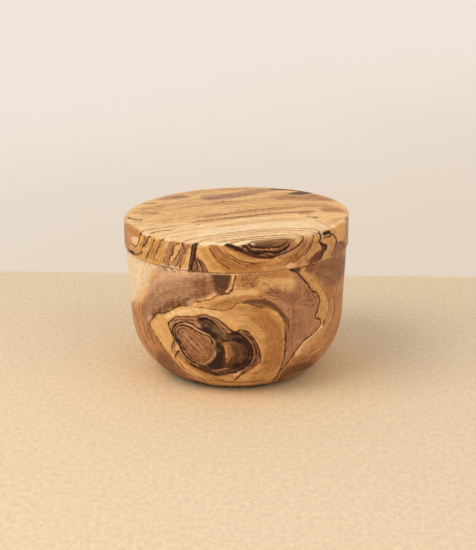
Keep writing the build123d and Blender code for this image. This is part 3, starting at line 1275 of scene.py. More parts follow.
KNOT: Figure = dict(
    knot=Patch("168.5,323 6,-6 15.5,-0.5 13,-2.3 16,5.6 15,11.7 14,0.5 9.5,13 3,15 -9.5,10 -13,6 -24,0 "
        "-18,-6 -12,-8 -8,-8 -4,-8 1.6,-8", SMOKE, 0.6),
    knot_right_rim=Patch("236,331.6 11,0 10,12.4 3,14 -9,12 -13,5 6,-9 7,-9 -1,-12 -6,-9", CHESTNUT, 0.8,
        0.55),
    knot_foot_gold=Patch("182,358 12,6 14,7 18,3.6 12,-2.6 -2,6 -14,2 -16,0 -12,-7 -10,-7", AMBER, 0.8, 0.85),
    gold_left=Streak("175.6,350.6 2,-3.6 1.2,-4", HONEY, 1.7, 0.9),
    pale_left=Patch("171.4,352 3.6,2 -1,4.4 -3,-3.4", HONEY, 0.5),
    lobe=Patch("197,318.5 8,-1 9,5.5 10,9.5 12,0.5 9,4.5 6,10.5 -1,11 -10,10 -18,3.6 -18,-2.6 -7,-3.5 "
        "12,-2.5 6,-7 1,-10 -4,-10.5 -8,-5.5 -5,-6", COCOA, 0.7),
    coal_head=Patch("198.6,319.4 5.4,-1.6 6,1.8 5,4.4 4,4.4 -5,-0.4 -6,-1.4 -5,-4", COAL, 0.6, 0.9),
    coal_neck=Patch("200,328.6 8,-1 7,4 8,5 4,5 -5,1 -8,-4 -7,-6.2", COAL, 0.8, 0.85),
    coal_side=Patch("214.6,344.6 4.4,-2 4,4.4 1.2,7 -1.6,7 -0.6,7.6 -10,-0.6 -6,-3 6,-4 4,-6", COAL, 0.7,
        0.85),
    lobe_dark_rings=Bands("229,342 10,2 4,8 -3,9 -10,6", "232,337 11,3 6,10 -3,11 -14,8.6", COAL, 5, 1, 0.95,
        seed=51),
    lobe_light_rings=Bands("226,341 10,4 4,9 -4,9", "234,340 9,6 4,10 -7,10", CHESTNUT, 4, 0.5, 0.8, seed=52),
    lobe_gold=Patch("222.6,343 4.4,-1.6 3.4,3.6 2.2,6 -0.2,7 -3.4,5 -3,-1.4 -2.4,-13", OCHRE, 1.3, 0.85),
    gold_line=Streak("227,344 1.6,6 0.4,7 -1.4,5", UMBER, 0.5, 0.8),
    gold_glow=Streak("225.4,345 1.2,6 0.2,7", AMBER, 1.3, 0.6),
    side_fleck=Blot("218.6,350", TAN, (1.1, 2.4), 0.35),
    neck_olive=Blot("218.6,339.6", OLIVE, (2.2, 1.6), 0.9, -20),
    neck_olive_two=Blot("224,336", OLIVE, (1.8, 1.2)),
    head_olive=Blot("214,331.4", OLIVE, (2.4, 1.1), 0.7, -25),
    head_fleck=Blot("202,323.2 4.6,2.4", AMBER, (1.7, 0.9), 0.45, -20),
    head_pale=Blot("199,325.4", TAN, (2, 1.6), 0.8, -30),
    foot_flecks=Blot("211.6,359 -5,7.4", AMBER, (1, 0.9), 0.8),
    ember=Streak("211,371 6,-0.4 6,-1.2 6,-0.8", COPPER, 0.8, 0.95),
    eye=Patch("177,328 7,-2.5 26,13.5 5,10 -1,8 -10,7 -10,-3 -10,-11 -6,-12", TAN, 0.7, 0.65),
    eye_warm=Blot("201,355", RUSSET, (5.4, 3.4), 0.55, -45),
    eye_warm_two=Blot("206,343", RUSSET, (2.4, 5), 0.5, 20),
    eye_pale=Blot("189,343 10,-6", HONEY, (1.6, 3.2), 0.35, 45),
    pale_wedge=Patch("178.6,359.6 3.4,1.8 6,5 15,10 3.6,3.6 -22.6,-13", HONEY, 0.5),
    gold_under_the_knot=Patch("219,376.4 11,0 7,-2 -4,5 -9,0", GOLD, 0.6),
    pale_chip=Patch("233,374.4 4,-2.8 4,-0.6 -2,4 -3.4,1.4", STRAW, 0.5, 0.85),
    knot_rim=Vein("176,355.6 -4,-5.6 0,-4 2,-6 -3,-8 -2.7,-8.6 3.2,-3 3,-3 9.5,-0.9 12,0.5 8,-2.8 9,3.8 "
        "6,1.6 7,6.8 7.6,5.4 7.4,-1.6 7,2 6,7.8 4.2,6.6 2,14.8 -6.2,5.2 -4,3.4", 0.6, 0.88, tip=(0.04, 0.06)),
    knot_rim_weight=Vein("212,317.4 7,2.4 7,6.6 7.4,5.2", 0.9, 0.5),
    knot_rim_weight_two=Vein("250,334.6 8,11.8 2.2,10.6 -0.4,5", 0.9, 0.6),
    crest_pale=Vein("183,324.2 7,1.2 11,6.6 8,3.4", 0.55, -0.35),
    left_dark=Vein("181.6,345.4 1,5.2 9.4,10.4 7,3.2 7,1.4", 0.85),
    left_dark_two=Vein("184,348 4,6.6 5,4.8 6,1.8", 0.6, 0.8),
    left_pale=Vein("183.4,347 4,6.6 5,5.4", 0.4, -0.45),
    eye_slit=Vein("186.6,334.6 10.4,10.4 6.4,7.4", 0.42, 0.8),
    eye_slit_two=Vein("188,336 7,5 6,6.6", 0.36, 0.6),
    eye_tick=Vein("192,347 2.6,3", 0.7, 0.7),
    eye_heart=Vein("182,331.6 1.8,1.2", 1.2, 0.8, soft=0.5),
    eye_right_lines=Sheaf("206.4,336.6 1.6,7.4 0.6,8 -1.6,6", "211.6,341 2,6 0,7 -3.6,6", 3, 0.4, 0.65,
        seed=6),
    eye_right_pale=Vein("211,338.4 3.2,5.6 1.4,6 -0.8,7", 0.5, -0.4),
    coal_crest=Vein("198,319.4 6,-1.4 7,2.4 6,5.2", 0.9, 0.8),
    outer_ring=Vein("228,334.6 7,-1.2 6,1.4 5,5.8 4.4,4.8 1.8,6.6 -0.6,6.6 -5.6,7.4 -7,4.6 -10,2.6 -12,0.4 "
        "-17,-5", 1.6, 0.92, soft=0.35, tip=(0.05, 0.12)),
    second_ring=Vein("236,336.6 6,3.4 4.6,6 2,7 -2,8 -6.6,5.6 -10,3", 0.8, 0.7),
    ring_pale=Streak("241.6,342 4.4,6 1.4,6 -2,6", RUSSET, 0.7, 0.6),
    rim_rings=Sheaf("238,332.4 8,3 6,8 2.6,8.6 -1.6,9 -7,7", "242,331 6.6,3 7.4,10 2.6,9 -1.2,8.6 -7.4,6.4",
        3, 0.45, 0.7, seed=7),
    neck_lines=Sheaf("207,317.4 8,5.2 6,5.4 5,6.6", "210,318.4 8,3.6 13,11", 3, 0.5, 0.75, seed=8),
    neck_pale=Vein("208,317.8 8,3.6 14,11.6", 0.45, -0.4),
    neck_pale_two=Vein("218,326.6 4,4 4.6,5", 0.4, -0.35),
    lobe_head=Vein("216,336.4 8,4.2 6,0.4", 0.8, 0.6),
    gold_side=Vein("222.6,345 1.4,7 0.4,8 -1.4,6", 0.8, 0.8),
    gold_far_side=Vein("231.6,356 -1,5 -3,4.4", 0.6, 0.7),
    foot_lines=Sheaf("188,360.6 12,6 12,4.8 14,2.6", "186,362 12,8 14,5.4 14,0.8", 4, 0.6, 0.9, seed=9),
    hook=Vein("180,350.6 -2.6,1.6 -2.8,6.4", 0.9),
    hook_two=Vein("175.6,344 -1.2,4.4 2.2,3.6", 0.45, 0.5),
    wedge_stroke=Vein("178.4,359.6 3,4.6 3.6,5.2", 0.6, 0.8),
    under_stroke=Vein("246.6,370.6 -5.6,3.8 -8,7.2", 0.95, 0.9, tip=(0.1, 0.1)),
    under_line=Vein("211.6,376.4 4,2.2 6.4,1.4 5,1.4 7,-0.2"),
    eye_rings=Rings("176.4,329 7.6,-2.4 16,6.8 11.6,9.6 2.8,11 -11.4,10 -13,-8 -11,-15", "185,334 5,5 "
        "13,13.6 -7,-3.6 -6,-6 -4.4,-5", 6, 0.95, 0.6, closed=True),
    rim_lines=Rings("171,322 15,-0.4 11,-0.6 8,-4 9,5.6 8,9.4 6,4", "174,318 16,-1 13,-2.4 12,4 18,13.8", 3,
        0.95, 0.6, fade=1),
    lobe_rim_lines=Rings("236,335 9,3 7,10 0,10 -6,8 -10,6", "238,331 10,1.6 9,12.4 3,13 -8,11 -12,6", 3, 0.9,
        0.6, fade=1.5),
    lobe_lines=Rings("227,341 9,3 5,7 -1,8 -7,6", "233,335.6 11,3.4 6.4,9 -0.8,11 -11.6,10.6", 4, 1, 0.6,
        fade=1.5),
    coal_glints=Rings("199,321 7,3.6 8,8.4 7,9", "205,318.6 9,4.4 8,9 7,8", 4, -0.22, 0.5, fade=1.5),
    under_the_knot=Rings("184,357 12,7.6 14,5.4 18,1", "180,360 14,9 16,7 24,1", 4, 0.9, 0.6),
    eye_left_shade=Blot("178,333 -2,7", CHESTNUT, (3.4, 2.6), 0.4, -60),
    outer_wrap=Vein("169,325 5,13 3.6,5 5.8,10 4.6,5.4 5.6,4 6.4,2.6", 0.75, 0.95, tip=(0.1, 0.2)),
    crest=Vein("186,354.6 -13,-22.6 -0.2,-4.4 4.2,-3.8 6,-1.8 8,1 5,3.6 6,3.6 6,2.2 4,3 2.6,4.2", 0.85, 1,
        tip=(0.15, 0.1)),
    eye_rim=Vein("198,362.6 -6,-4 -5,-5.6 -4.4,-7 -4.4,-6.4 -2.8,-6 -0.4,-4.6 3.4,-2.8 4.6,-1 7,2.2 13,7.2 "
        "6,2.4 5.8,11 0.4,6", 0.75, 0.95, tip=(0.08, 0.1)),
    eye_fold=Vein("190,355.4 -4.6,-6.4 -7.4,-13 -0.6,-4.6 3.2,-2.8 5.4,1 6,3.4", 0.6, 0.8, tip=(0.2, 0.3)),
    eye_fold_two=Vein("189,349.6 -8,-12.6 -0.4,-4", 0.45, 0.55, tip=(0.3, 0.2)),
    ridge_line=Vein("172,321.6 6,-2 8,0.4 8,0.4 6,1.6", 0.6, 0.75, tip=(0.2, 0.3)),
    ridge_line_two=Vein("208,318 7,3 6,6 5,6 5,2.4", 0.55, 0.7),
    ridge_line_three=Vein("213,322.6 5.6,4.8 4.4,5.6", 0.5, 0.6),
    heart_line=Vein("183.6,335.6 6.4,7.4 7,7 5,4", 0.5, 0.75),
    heart_line_two=Vein("182.6,340 5.4,7.4 7,6.2 6,3.4", 0.42, 0.6),
    heart_line_three=Vein("188.6,332.6 7,5 6.8,6.4 3.6,7", 0.42, 0.6),
    low_wrap=Vein("182,348 3,7 15,10 9,2.6", 0.7, 0.9),
    low_wrap_two=Vein("183,356.4 6,5.4 8,5.4 10,4.6 11,2.2 13,-1", 0.75, 0.9),
    lobe_far_line=Vein("247,333.6 6.6,9.4 2.8,10 -1.8,9 -6.6,6"),
)

BOWL_CONTOURS: Figure = dict(
    band=Patch("240,302.6 6,-2.2 18,-1 7,2.4 6,5.2 7,5.6 4.4,6.4 0.2,7 -3.6,-2 -2.4,-5.4 -6.6,-7.6 -8,-5",
        UMBER, 0.5),
    band_foot=Patch("248,303.4 10,1 5,1.2 -1,3 -5,-1.2", UMBER, 0.6, 0.8),
    band_heart=Streak("256,301.6 12,1.4 9,6.4 8,7.6", COCOA, 0.9, 0.7),
    band_top=Vein("243,301 9,-1.8 13,0.1 8,3.7 11,9.6", 0.5, 0.45),
    band_left_tail=Vein("284.6,320 0.8,15 -0.4,15 -1.6,11 -2.8,8 -5,8.6 -5.6,4.8", 1, 0.72, tip=(0.2, 0.1)),
    band_right_tail=Vein("288,319 1.4,13 0.2,12", 0.7, 0.5, tip=(0.1, 0.5)),
    band_tail_shade=Streak("286.6,320 0.6,16 -0.6,16 -2,12", CHESTNUT, 1.2, 0.7),
    tail_pale=Vein("280.4,373.6 1.6,-7 3,-6.6 2.4,-10", 0.6, -0.35),
    contour_top_left=Vein("194,307.4 -11,-2 -6,1 -12,6.6 -8,0 -3,4 -4,4.6 0.4,4.4 13.6,21.5 6.5,8.5 5,7 "
        "6.5,6.5 11,6.8 8,1.9 8,6.6", 0.7, 0.8),
    contour_weight=Vein("168,311.6 -13,3 -4,5.4", 1.1, 0.45, soft=0.5),
    thin_line=Vein("191,307 9,0.3 12,1.9 12,0.8 7,-1.5 6,-4.7 6,-1.8", 0.55, 0.68),
    heartwood_foot=Vein("226,293.8 -8,1 -7,4.4 -19,3.2", 0.6, 0.72),
    block_side=Vein("235.8,272 -0.8,7.4 -4.4,12.2 -4.6,2.2 -8,0.6", 0.75),
    right_contour=Vein("289,269.5 6,1.9 13,13.1 4,6.5 4,1.6 3.6,5.9 -1,8.5 -3.2,10.6 4.1,1.6 1,4.8 -6.5,9 "
        "-9,6.6 -15,19.4 -13,17", 0.75, 0.86, tip=(0.02, 0.1)),
    contour_halo=Streak("291,270 9,7 9,11 8,9 -1,15 2.6,10 -14.6,16 -14,19", CHESTNUT, 1.6, side=-1),
    foot_brown=Streak("208,379.6 18,2.4 20,0 20,-2.4", UMBER, 1.5),
)

LID_GROUND: Figure = dict(
    top=Patch("118,212 16,-12 26,-10 40,-8 50,-2 50,3 34,10 22,17 -10,12 -28,9.6 -15,4.8 -83,8.6 -37,-2.4 "
        "-42,-10.1 -17,-10.5", HONEY, 0.8),
    side_left=Patch("112,212 14,11 15,9.5 24,7.1 18,3 15,1.6 -4,11.8 11,8 4,14 -49,-8 -25,-10 -23,-12", GOLD,
        0.5),
    side_gold=Patch("197,244.2 12,0.6 5,11.2 8,12 14,10 -28,-1 -4,-14 -9,-7", GOLD, 0.5),
    side_middle=Patch("208,244.8 24,0.2 71,-8.6 4,13.6 -1,18 -16,8 -56,3 -13,-11 -9,-12", OCHRE, 0.6),
    side_right=Patch("302,236.4 16,-5 18,-3.4 20,-16 0,42 -26,12 -28,8 -2,-18", TAN, 0.8),
)

LID_TOP: Figure = dict(
    front_cream=Patch("160,236.6 24,-8.2 56,-7.8 30,-2 30,-0.6 22,2 12,6 -16,6.6 -28,6.4 -76,7 -34,-3", STRAW,
        4, 0.85),
    front_cream_heart=Patch("196,236 18,-7 94,-6.4 6,3.4 -38,1.6 -40,4.4 -30,6", CREAM, 3, 0.45),
    left_glow=Patch("140,224 36,-2 38,4 -18,6 -30,6 -20,-6", STRAW, 4, 0.55),
    back_brown=Patch("200,196.4 16,-2.4 20,-1.6 14,-2.4 18,-1 10,1.4 -16,2.4 -38,6.6 -20,0.8", TAN, 2.6,
        0.95),
    back_streaks=Bands("198,198.6 52,-8.2 22,-1", "206,200.4 30,-2.8 26,-4.6", CHESTNUT, 5, 1.6, 0.4,
        seed=61),
    back_orange=Patch("270,197 16,-3 26,0.6 18,2.8 10,3.6 -18,0 -22,-0.8 -16,-0.6", RUSSET, 3, 0.6),
    back_orange_flecks=Blot("280,199 13,-2 15,1.6 5,-2.6 10,3.4", CHESTNUT, (3.2, 1.6), 0.75),
    back_edge=Streak("268,188.8 32,2.1 13,2.5", COCOA, 2, 0.95),
    back_lens=Patch("288,193.6 7,-1.7 8,-0.4 9,1.8 -17,1.2", COCOA, 1, 0.85),
    back_right_brown=Streak("310,196 12,2.6 10,2.4", RUSSET, 2),
    left_back_brown=Patch("156,199.6 8,-2.6 14,-1.4 16,0.8 -10,2.2", TAN, 1.8, 0.95),
    left_back_dark=Streak("172,197.6 8,-0.6 9,0.2", CHESTNUT, 1.4, 0.9),
    left_streak=Streak("142,204.2 6,-0.8 8,-0.2", RUSSET, 1.8, 0.85),
    left_fleck=Blot("152,203.6 7.6,2.8", CHESTNUT, (2.4, 1.4), 0.9),
    left_streak_two=Streak("154,206.4 6,-0.2 6,0.4", RUSSET, 1.6, 0.7),
    left_pale=Streak("152,205 8,-0.6 10,-0.2", STRAW, 1.5, 0.7),
    left_streak_three=Streak("138,209.6 10,-1.2 10,0", RUSSET, 2.2, 0.6),
    left_smudge=Streak("131,213.4 11,-1.8 8,1.4 10,0.4", RUSSET, 3, 0.6),
    left_smudge_dark=Blot("142,213.6 11,0.2", CHESTNUT, (3, 1.6), 0.7),
    hook=Streak("127,216.6 4,2 13,1.8", CHESTNUT, 1.9, 0.85),
    hook_two=Streak("130,222 6,-0.4 6,-0.2", RUSSET, 1.6, 0.7),
    hook_pale=Streak("126,221 4,0.2 4,2.4", CREAM, 1.5, 0.8),
    left_lines=Bands("136,208.6 24,-5.2 40,-1.4 40,-1.6", "146,214.6 30,-5 68,-5.6", AMBER, 7, 1.5, 0.55,
        seed=62),
    back_lines=Bands("204,202 46,-3 25,-4 15,-0.6", "206,205.4 50,-2.8 44,-3", RUSSET, 5, 1.3, 0.45, seed=63),
    middle_glow=Bands("250,205.6 40,-3 50,1.4", "214,209.6 48,-3 44,-2", GOLD, 5, 3, 0.7, seed=64),
    left_glow_lines=Bands("150,219 26,-5.4 30,-3.2", "166,222.4 24,-2.8 24,-4.2", AMBER, 5, 1.8, 0.45,
        seed=65),
    band_one=Streak("190,218.6 16,-2.8 20,-2.2 20,-2.8 36,-3.4 40,-1.2 16,2.6", RUSSET, 1.7, 0.75),
    band_one_lines=Bands("196,217 66,-8.2 42,-3", "200,219.4 66,-8 40,-3.2", RUSSET, 4, 1.2, 0.55, seed=66),
    band_two=Streak("193,222.4 12,-2 31,-2.6 28,-3.6 54,-3.4", RUSSET, 2.4, 0.8),
    band_two_lines=Bands("195,221 67,-8 38,-2.6", "198,224.4 32,-4.4 76,-6.4", CHESTNUT, 4, 1, 0.55, seed=67),
    band_flecks=Blot("195.6,222.2 4,-1 -1.2,3.2", CHESTNUT, (2.4, 1.5), 0.95, 10),
    right_brown=Patch("296,213 8,-2.2 10,0 -4,2.6 -8,0.8", RUSSET, 1.6, 0.8),
    far_right_brown=Patch("320,209 10,-1 12,1.4 4,2.6 -12,0 -10,-0.4", RUSSET, 1.8, 0.8),
    right_lines=Bands("300,203 24,0.6 18,3.4", "304,209.8 22,-0.6 20,2.8", RUSSET, 5, 1.1, seed=68),
    pale_lines=Bands("214,226.6 28,-4.6 34,-3.4 36,-1.6", "206,229.6 34,-4.4 36,-3.2 34,-0.4", AMBER, 5, 1.2,
        0.65, seed=69),
    pale_strip=Streak("232,221.6 30,-3.8 68,-3", STRAW, 2.6, 0.75),
    dot=Blot("223,201.2", COCOA, (0.8, 1.6), 0.8),
    knot_mark=Blot("315,217.4", UMBER, (2.3, 2.6), 0.95, -10),
    knot_mark_tail=Blot("309.6,216.4", RUSSET, (2.6, 2.4), 0.8, -15),
    rays=Bands("312,219.6 6,3 6,4.4 3,4", "318,219.6 12,6.4 3,3", RUSSET, 4, 0.7, 0.6, seed=70),
    ray_pale=Streak("316,221.4 6,3.6 5,5", CREAM, 1, 0.9),
    fan=Bands("322,222.4 12,-4 14,-1.8", "328,226.4 10,-4.2 10,-2.6", RUSSET, 4, 0.9, 0.55, seed=71),
    far_right_pale=Streak("326,229 10,-3 10,-5", STRAW, 2.2, 0.8),
    # Painted highlights along the crease between the lid's top and its side, where the eased edge catches the
    # light.
    crease_highlight=Patch("196,244.6 6,-2.6 14,0.4 14,0.2 0,2 -16,0.8", CREAM, 1, 0.8),
    crease_highlight_wedge=Patch("231,245 7,-2.6 12,-1.4 -4,2.8 -6,1.6", CREAM, 0.8),
    crease_highlight_spot=Patch("164,239.6 1.6,-1.8 4,1.6 -0.6,1.6", CREAM, 0.8),
    crease_highlight_spot_two=Patch("142,232.8 3,-1.2 4,2 -1,1.6", CREAM, 0.8, 0.8),
    crease_highlight_streak=Streak("184,242.6 8,-0.8 8,-0.2", CREAM, 1.2, 0.6),
    line_one=Vein("141,232.6 4,-2.2 27,-3.9 18,-3.1", 1.7, 0.5, soft=0.7, tip=(0.05, 0.5)),
    line_two=Vein("149,234.4 6,-2.3 6,-1.3 9,-0.9 10,-1.9", 1.7, 0.55, soft=0.7, tip=(0.05, 0.4)),
    line_two_pale=Vein("160,229.4 8,-1 6,0.2", 1.5, -0.6, soft=0.7),
    line_three=Vein("159,236.8 13,-3.6 54,-8.8", 1.4, 0.32, soft=0.8, tip=(0.1, 0.5)),
    line_four=Vein("168,238.6 10,-2.4 28,-5.2", 1.3, 0.32, soft=0.8, tip=(0.1, 0.5)),
    line_five=Vein("183,242.6 7,-2.8 55,-8.7 20,-1.5 20,-1.2 30,1.2 5.5,2", 1.6, 0.44, soft=0.8,
        tip=(0.05, 0.02)),
    line_six=Vein("196,243 8,-2.7 26,-5.1 40,-4.3 38,0.3 10,2.2", 1.5, 0.44, soft=0.8, tip=(0.05, 0.02)),
    line_seven=Vein("205,241.6 33,-5.8 38,-3 24,0.2", 1.3, 0.35, soft=0.8),
    line_eight=Vein("214,243.4 18,-3.4 36,-4 18,-0.8 13,-0.1 5,1.5", 1.6, 0.55, soft=0.7, tip=(0.08, 0.02)),
    line_nine=Vein("226,244.8 10,-3.2 14,-2.2 30,-1.7 10,-0.1", 1.5, 0.62, soft=0.7, tip=(0.06, 0.1)),
    front_fine_lines=Sheaf("196,236 40,-6 44,-2.8 32,0.4", "216,242.4 34,-6.4 30,-2.4 26,0.4", 5, 0.9, 0.2,
        soft=0.6, seed=12),
    back_grain=Rings("138,208 62,-13 62,-4.4 60,1.4", "150,197 60,-9 60,-3 46,2", 5, 0.6, 0.5, fade=10),
    middle_grain=Rings("124,224 116,-16 60,-6 48,2", "134,209 56,-10 60,-6 60,0 28,4", 7, 0.45, 0.5, fade=10),
    front_grain=Rings("142,232 38,-6 60,-8 60,-8 50,0", "128,224 112,-15.4 60,-6 48,2", 4, 0.45, 0.5,
        fade=10),
)

LID_SIDE_LEFT: Figure = dict(
    edge_copper=Patch("112,214 14,10 5,9 0,11 -3,5 -16,-3", COPPER, 1.2, 0.9),
    orange_wedge=Patch("126,223.6 15,9.1 -1.4,4.7 -5.6,-0.8 -5,-5", OCHRE, 0.6, 0.9),
    pale_patch=Patch("130.6,237.6 8.2,0.4 -1.4,4.4 -3.4,0.2", CREAM, 0.7, 0.75),
    pink_lines=Streak("128,247 5,2 6,0.6", TAN, 1.4, 0.8),
    foot_lines=Bands("126.4,246 4.6,3.4 6,1.6", "126.6,250 4.4,3.4 5,2.6", CHESTNUT, 3, 0.7, 0.9, seed=81),
    foot_dark=Patch("127.6,250.4 3.4,0 3.4,2.2 -0.4,2.2 -4,-1.2", COAL, 0.4, 0.85),
    foot_burgundy=Streak("134,254.6 4.6,-0.8 4.4,-2.8", UMBER, 1.1, 0.85),
    left_stripes=Bands("143,234.6 -1,6.4 -4,6", "148,236.4 -3,5.6 -4,6", RUSSET, 3, 0.6, 0.8, seed=82),
    gold_stripes=Bands("151,238 -2,8 -5,12", "166,241 -4,9 -2,14", OCHRE, 7, 0.9, 0.8, seed=83),
    bright_stripes=Bands("151,238.6 -3,8.4 -5,10", "163,241 -3,10 -3,11", HONEY, 4, 0.7, 0.75, seed=84),
    amber_heart=Blot("153.6,252 2.4,8", OCHRE, (1.6, 2.2), 0.8),
    brown_strip=Patch("169,241.2 10,0.6 -5,3.2 -1.6,4 0.2,5 -4,4 -3,-1 2.4,-12", SMOKE, 0.5),
    brown_strip_low=Patch("165,257 4.6,0.4 0,5.6 -3.6,3 -4,-1", SMOKE, 0.6, 0.85),
    light_leaf=Patch("175.6,246.4 4.8,-2.2 0.6,4.4 -7,10 -3.4,2.4 0.6,-5 3.2,-4", HONEY, 0.5),
    violet_strip=Patch("182.4,243.6 8.2,0.4 -4.6,11 -4,1 -2,4 -1,-5 2.4,-6", SMOKE, 0.6),
    strip_lines=Bands("186,245 -2,11 -3,14", "191,245 -2,12 -2,13", CHESTNUT, 3, 0.6, 0.6, seed=85),
    light_strip=Patch("188.6,248 2,2 -1.6,12 -2,9 -4,-0.4 2.4,-9.6", HONEY, 0.5),
    low_tan=Patch("176,258 4,0 -1.4,9 -8.6,0.6 2,-4.6", TAN, 0.6),
    black_streak=Patch("192.6,243.6 5,-0.6 -1.6,6 -0.8,6.6 -3.4,10.4 -1.4,6 -2,0 1.2,-10 1.2,-8", COCOA, 0.4),
    wedge_brown=Patch("193.4,259 3,-2.2 3.6,2.8 4,4 2,4.4 3,7 -19.4,-1 1.8,-8", CHESTNUT, 0.4),
    wedge_lights=Bands("195,262 1,5 -0.4,5", "200,262 3,5 3,5", TAN, 3, 0.5, 0.7, seed=86),
    gold_side_lines=Bands("199,246 2,9 6,8 5,9", "207,246 3,9 6,9 10,9", OCHRE, 5, 0.9, 0.7, seed=87),
    side_one=Vein("141,232.4 -2.5,9 -0.9,3.6 -1.6,1.8 -3.4,-2 -5.6,-3.2", 0.65, tip=(0.02, 0.4)),
    side_two=Vein("149.4,235.6 -3.4,7 -6.4,7.8", 0.85, 0.92, tip=(0.02, 0.4)),
    side_two_branch=Vein("146,242 -0.8,4.6", 0.7, 0.7),
    side_stripe=Vein("144.6,235 -0.2,5", 0.5, 0.5),
    side_three=Vein("155,238.4 -4.4,10.6 -3,5 -1.6,4 0,4", 0.6, 0.75),
    side_three_weight=Vein("150,250.4 -2.2,3.2 -1.2,3.4", 1, 0.75, soft=0.35),
    side_four=Vein("165.6,237.8 -3.2,2 -2,3.2 -0.8,3 -2.2,3.6 -1.2,3.8 0.8,3.6", 0.62, 0.8),
    side_five=Vein("158,240 -3,5 -5,11", 0.4, 0.45),
    side_six=Vein("166.6,247 -2,6 -0.6,6 -2.4,5.6", 0.5, 0.6),
    side_eight=Vein("182.4,242.4 -5.4,1.4 -3,2.4 -1.2,3.2 0.2,4.2 -3.2,3.8 0,5.6", 0.7, 0.82),
    side_nine=Vein("182.4,242.4 1,3.6 1.4,3.6 -0.2,3 -3,2", 0.7, tip=(0.02, 0.3)),
    side_nine_weight=Vein("182.4,242.4 0.8,3.6", 1.1),
    side_ten=Vein("181.8,247 -5.4,10 -3.8,4.8 -2.8,3.2 -3.8,1.8", 0.6, 0.75),
    side_eleven=Vein("180,254 0.6,3.6 -5.6,9", 0.55, 0.7),
    side_twelve=Vein("182,257.8 -1,3.8 -0.4,3.8 -1.2,4", 0.75),
    streak_edge=Vein("197.2,243 -1.2,5 -1,7 -5,18", 0.9, 0.97, soft=0.3, tip=(0.02, 0.1)),
    streak_far_edge=Vein("192.8,243.6 -3.8,23.4 -0.4,5", 0.5, 0.8, tip=(0.02, 0.1)),
    fan_one=Vein("194.4,256.6 2.8,8.8 0.6,5.6", 0.7, 0.9),
    fan_two=Vein("196.4,257.8 3,4.2 2,4.6 1.6,5.8", 0.7, 0.9),
    fan_three=Vein("200,260 4,4 5,10", 0.5, 0.7),
    fan_pale=Vein("198,262 2.4,5 1.2,5", 0.35, -0.5),
    left_side_lines=Rings("142,234 -3,12 -5,11", "168,240 -3,12 -4,14", 8, 0.6, 0.45, fade=1),
    edge_lines=Rings("114,216 2,14 6,16", "126,224 2,12 4,14", 4, 0.5, 0.5, fade=1),
    strip_lines_again=Rings("169,243 -3,11 -2,12", "191,245 -2,13 -2,12", 8, 0.6, 0.45, fade=1),
)

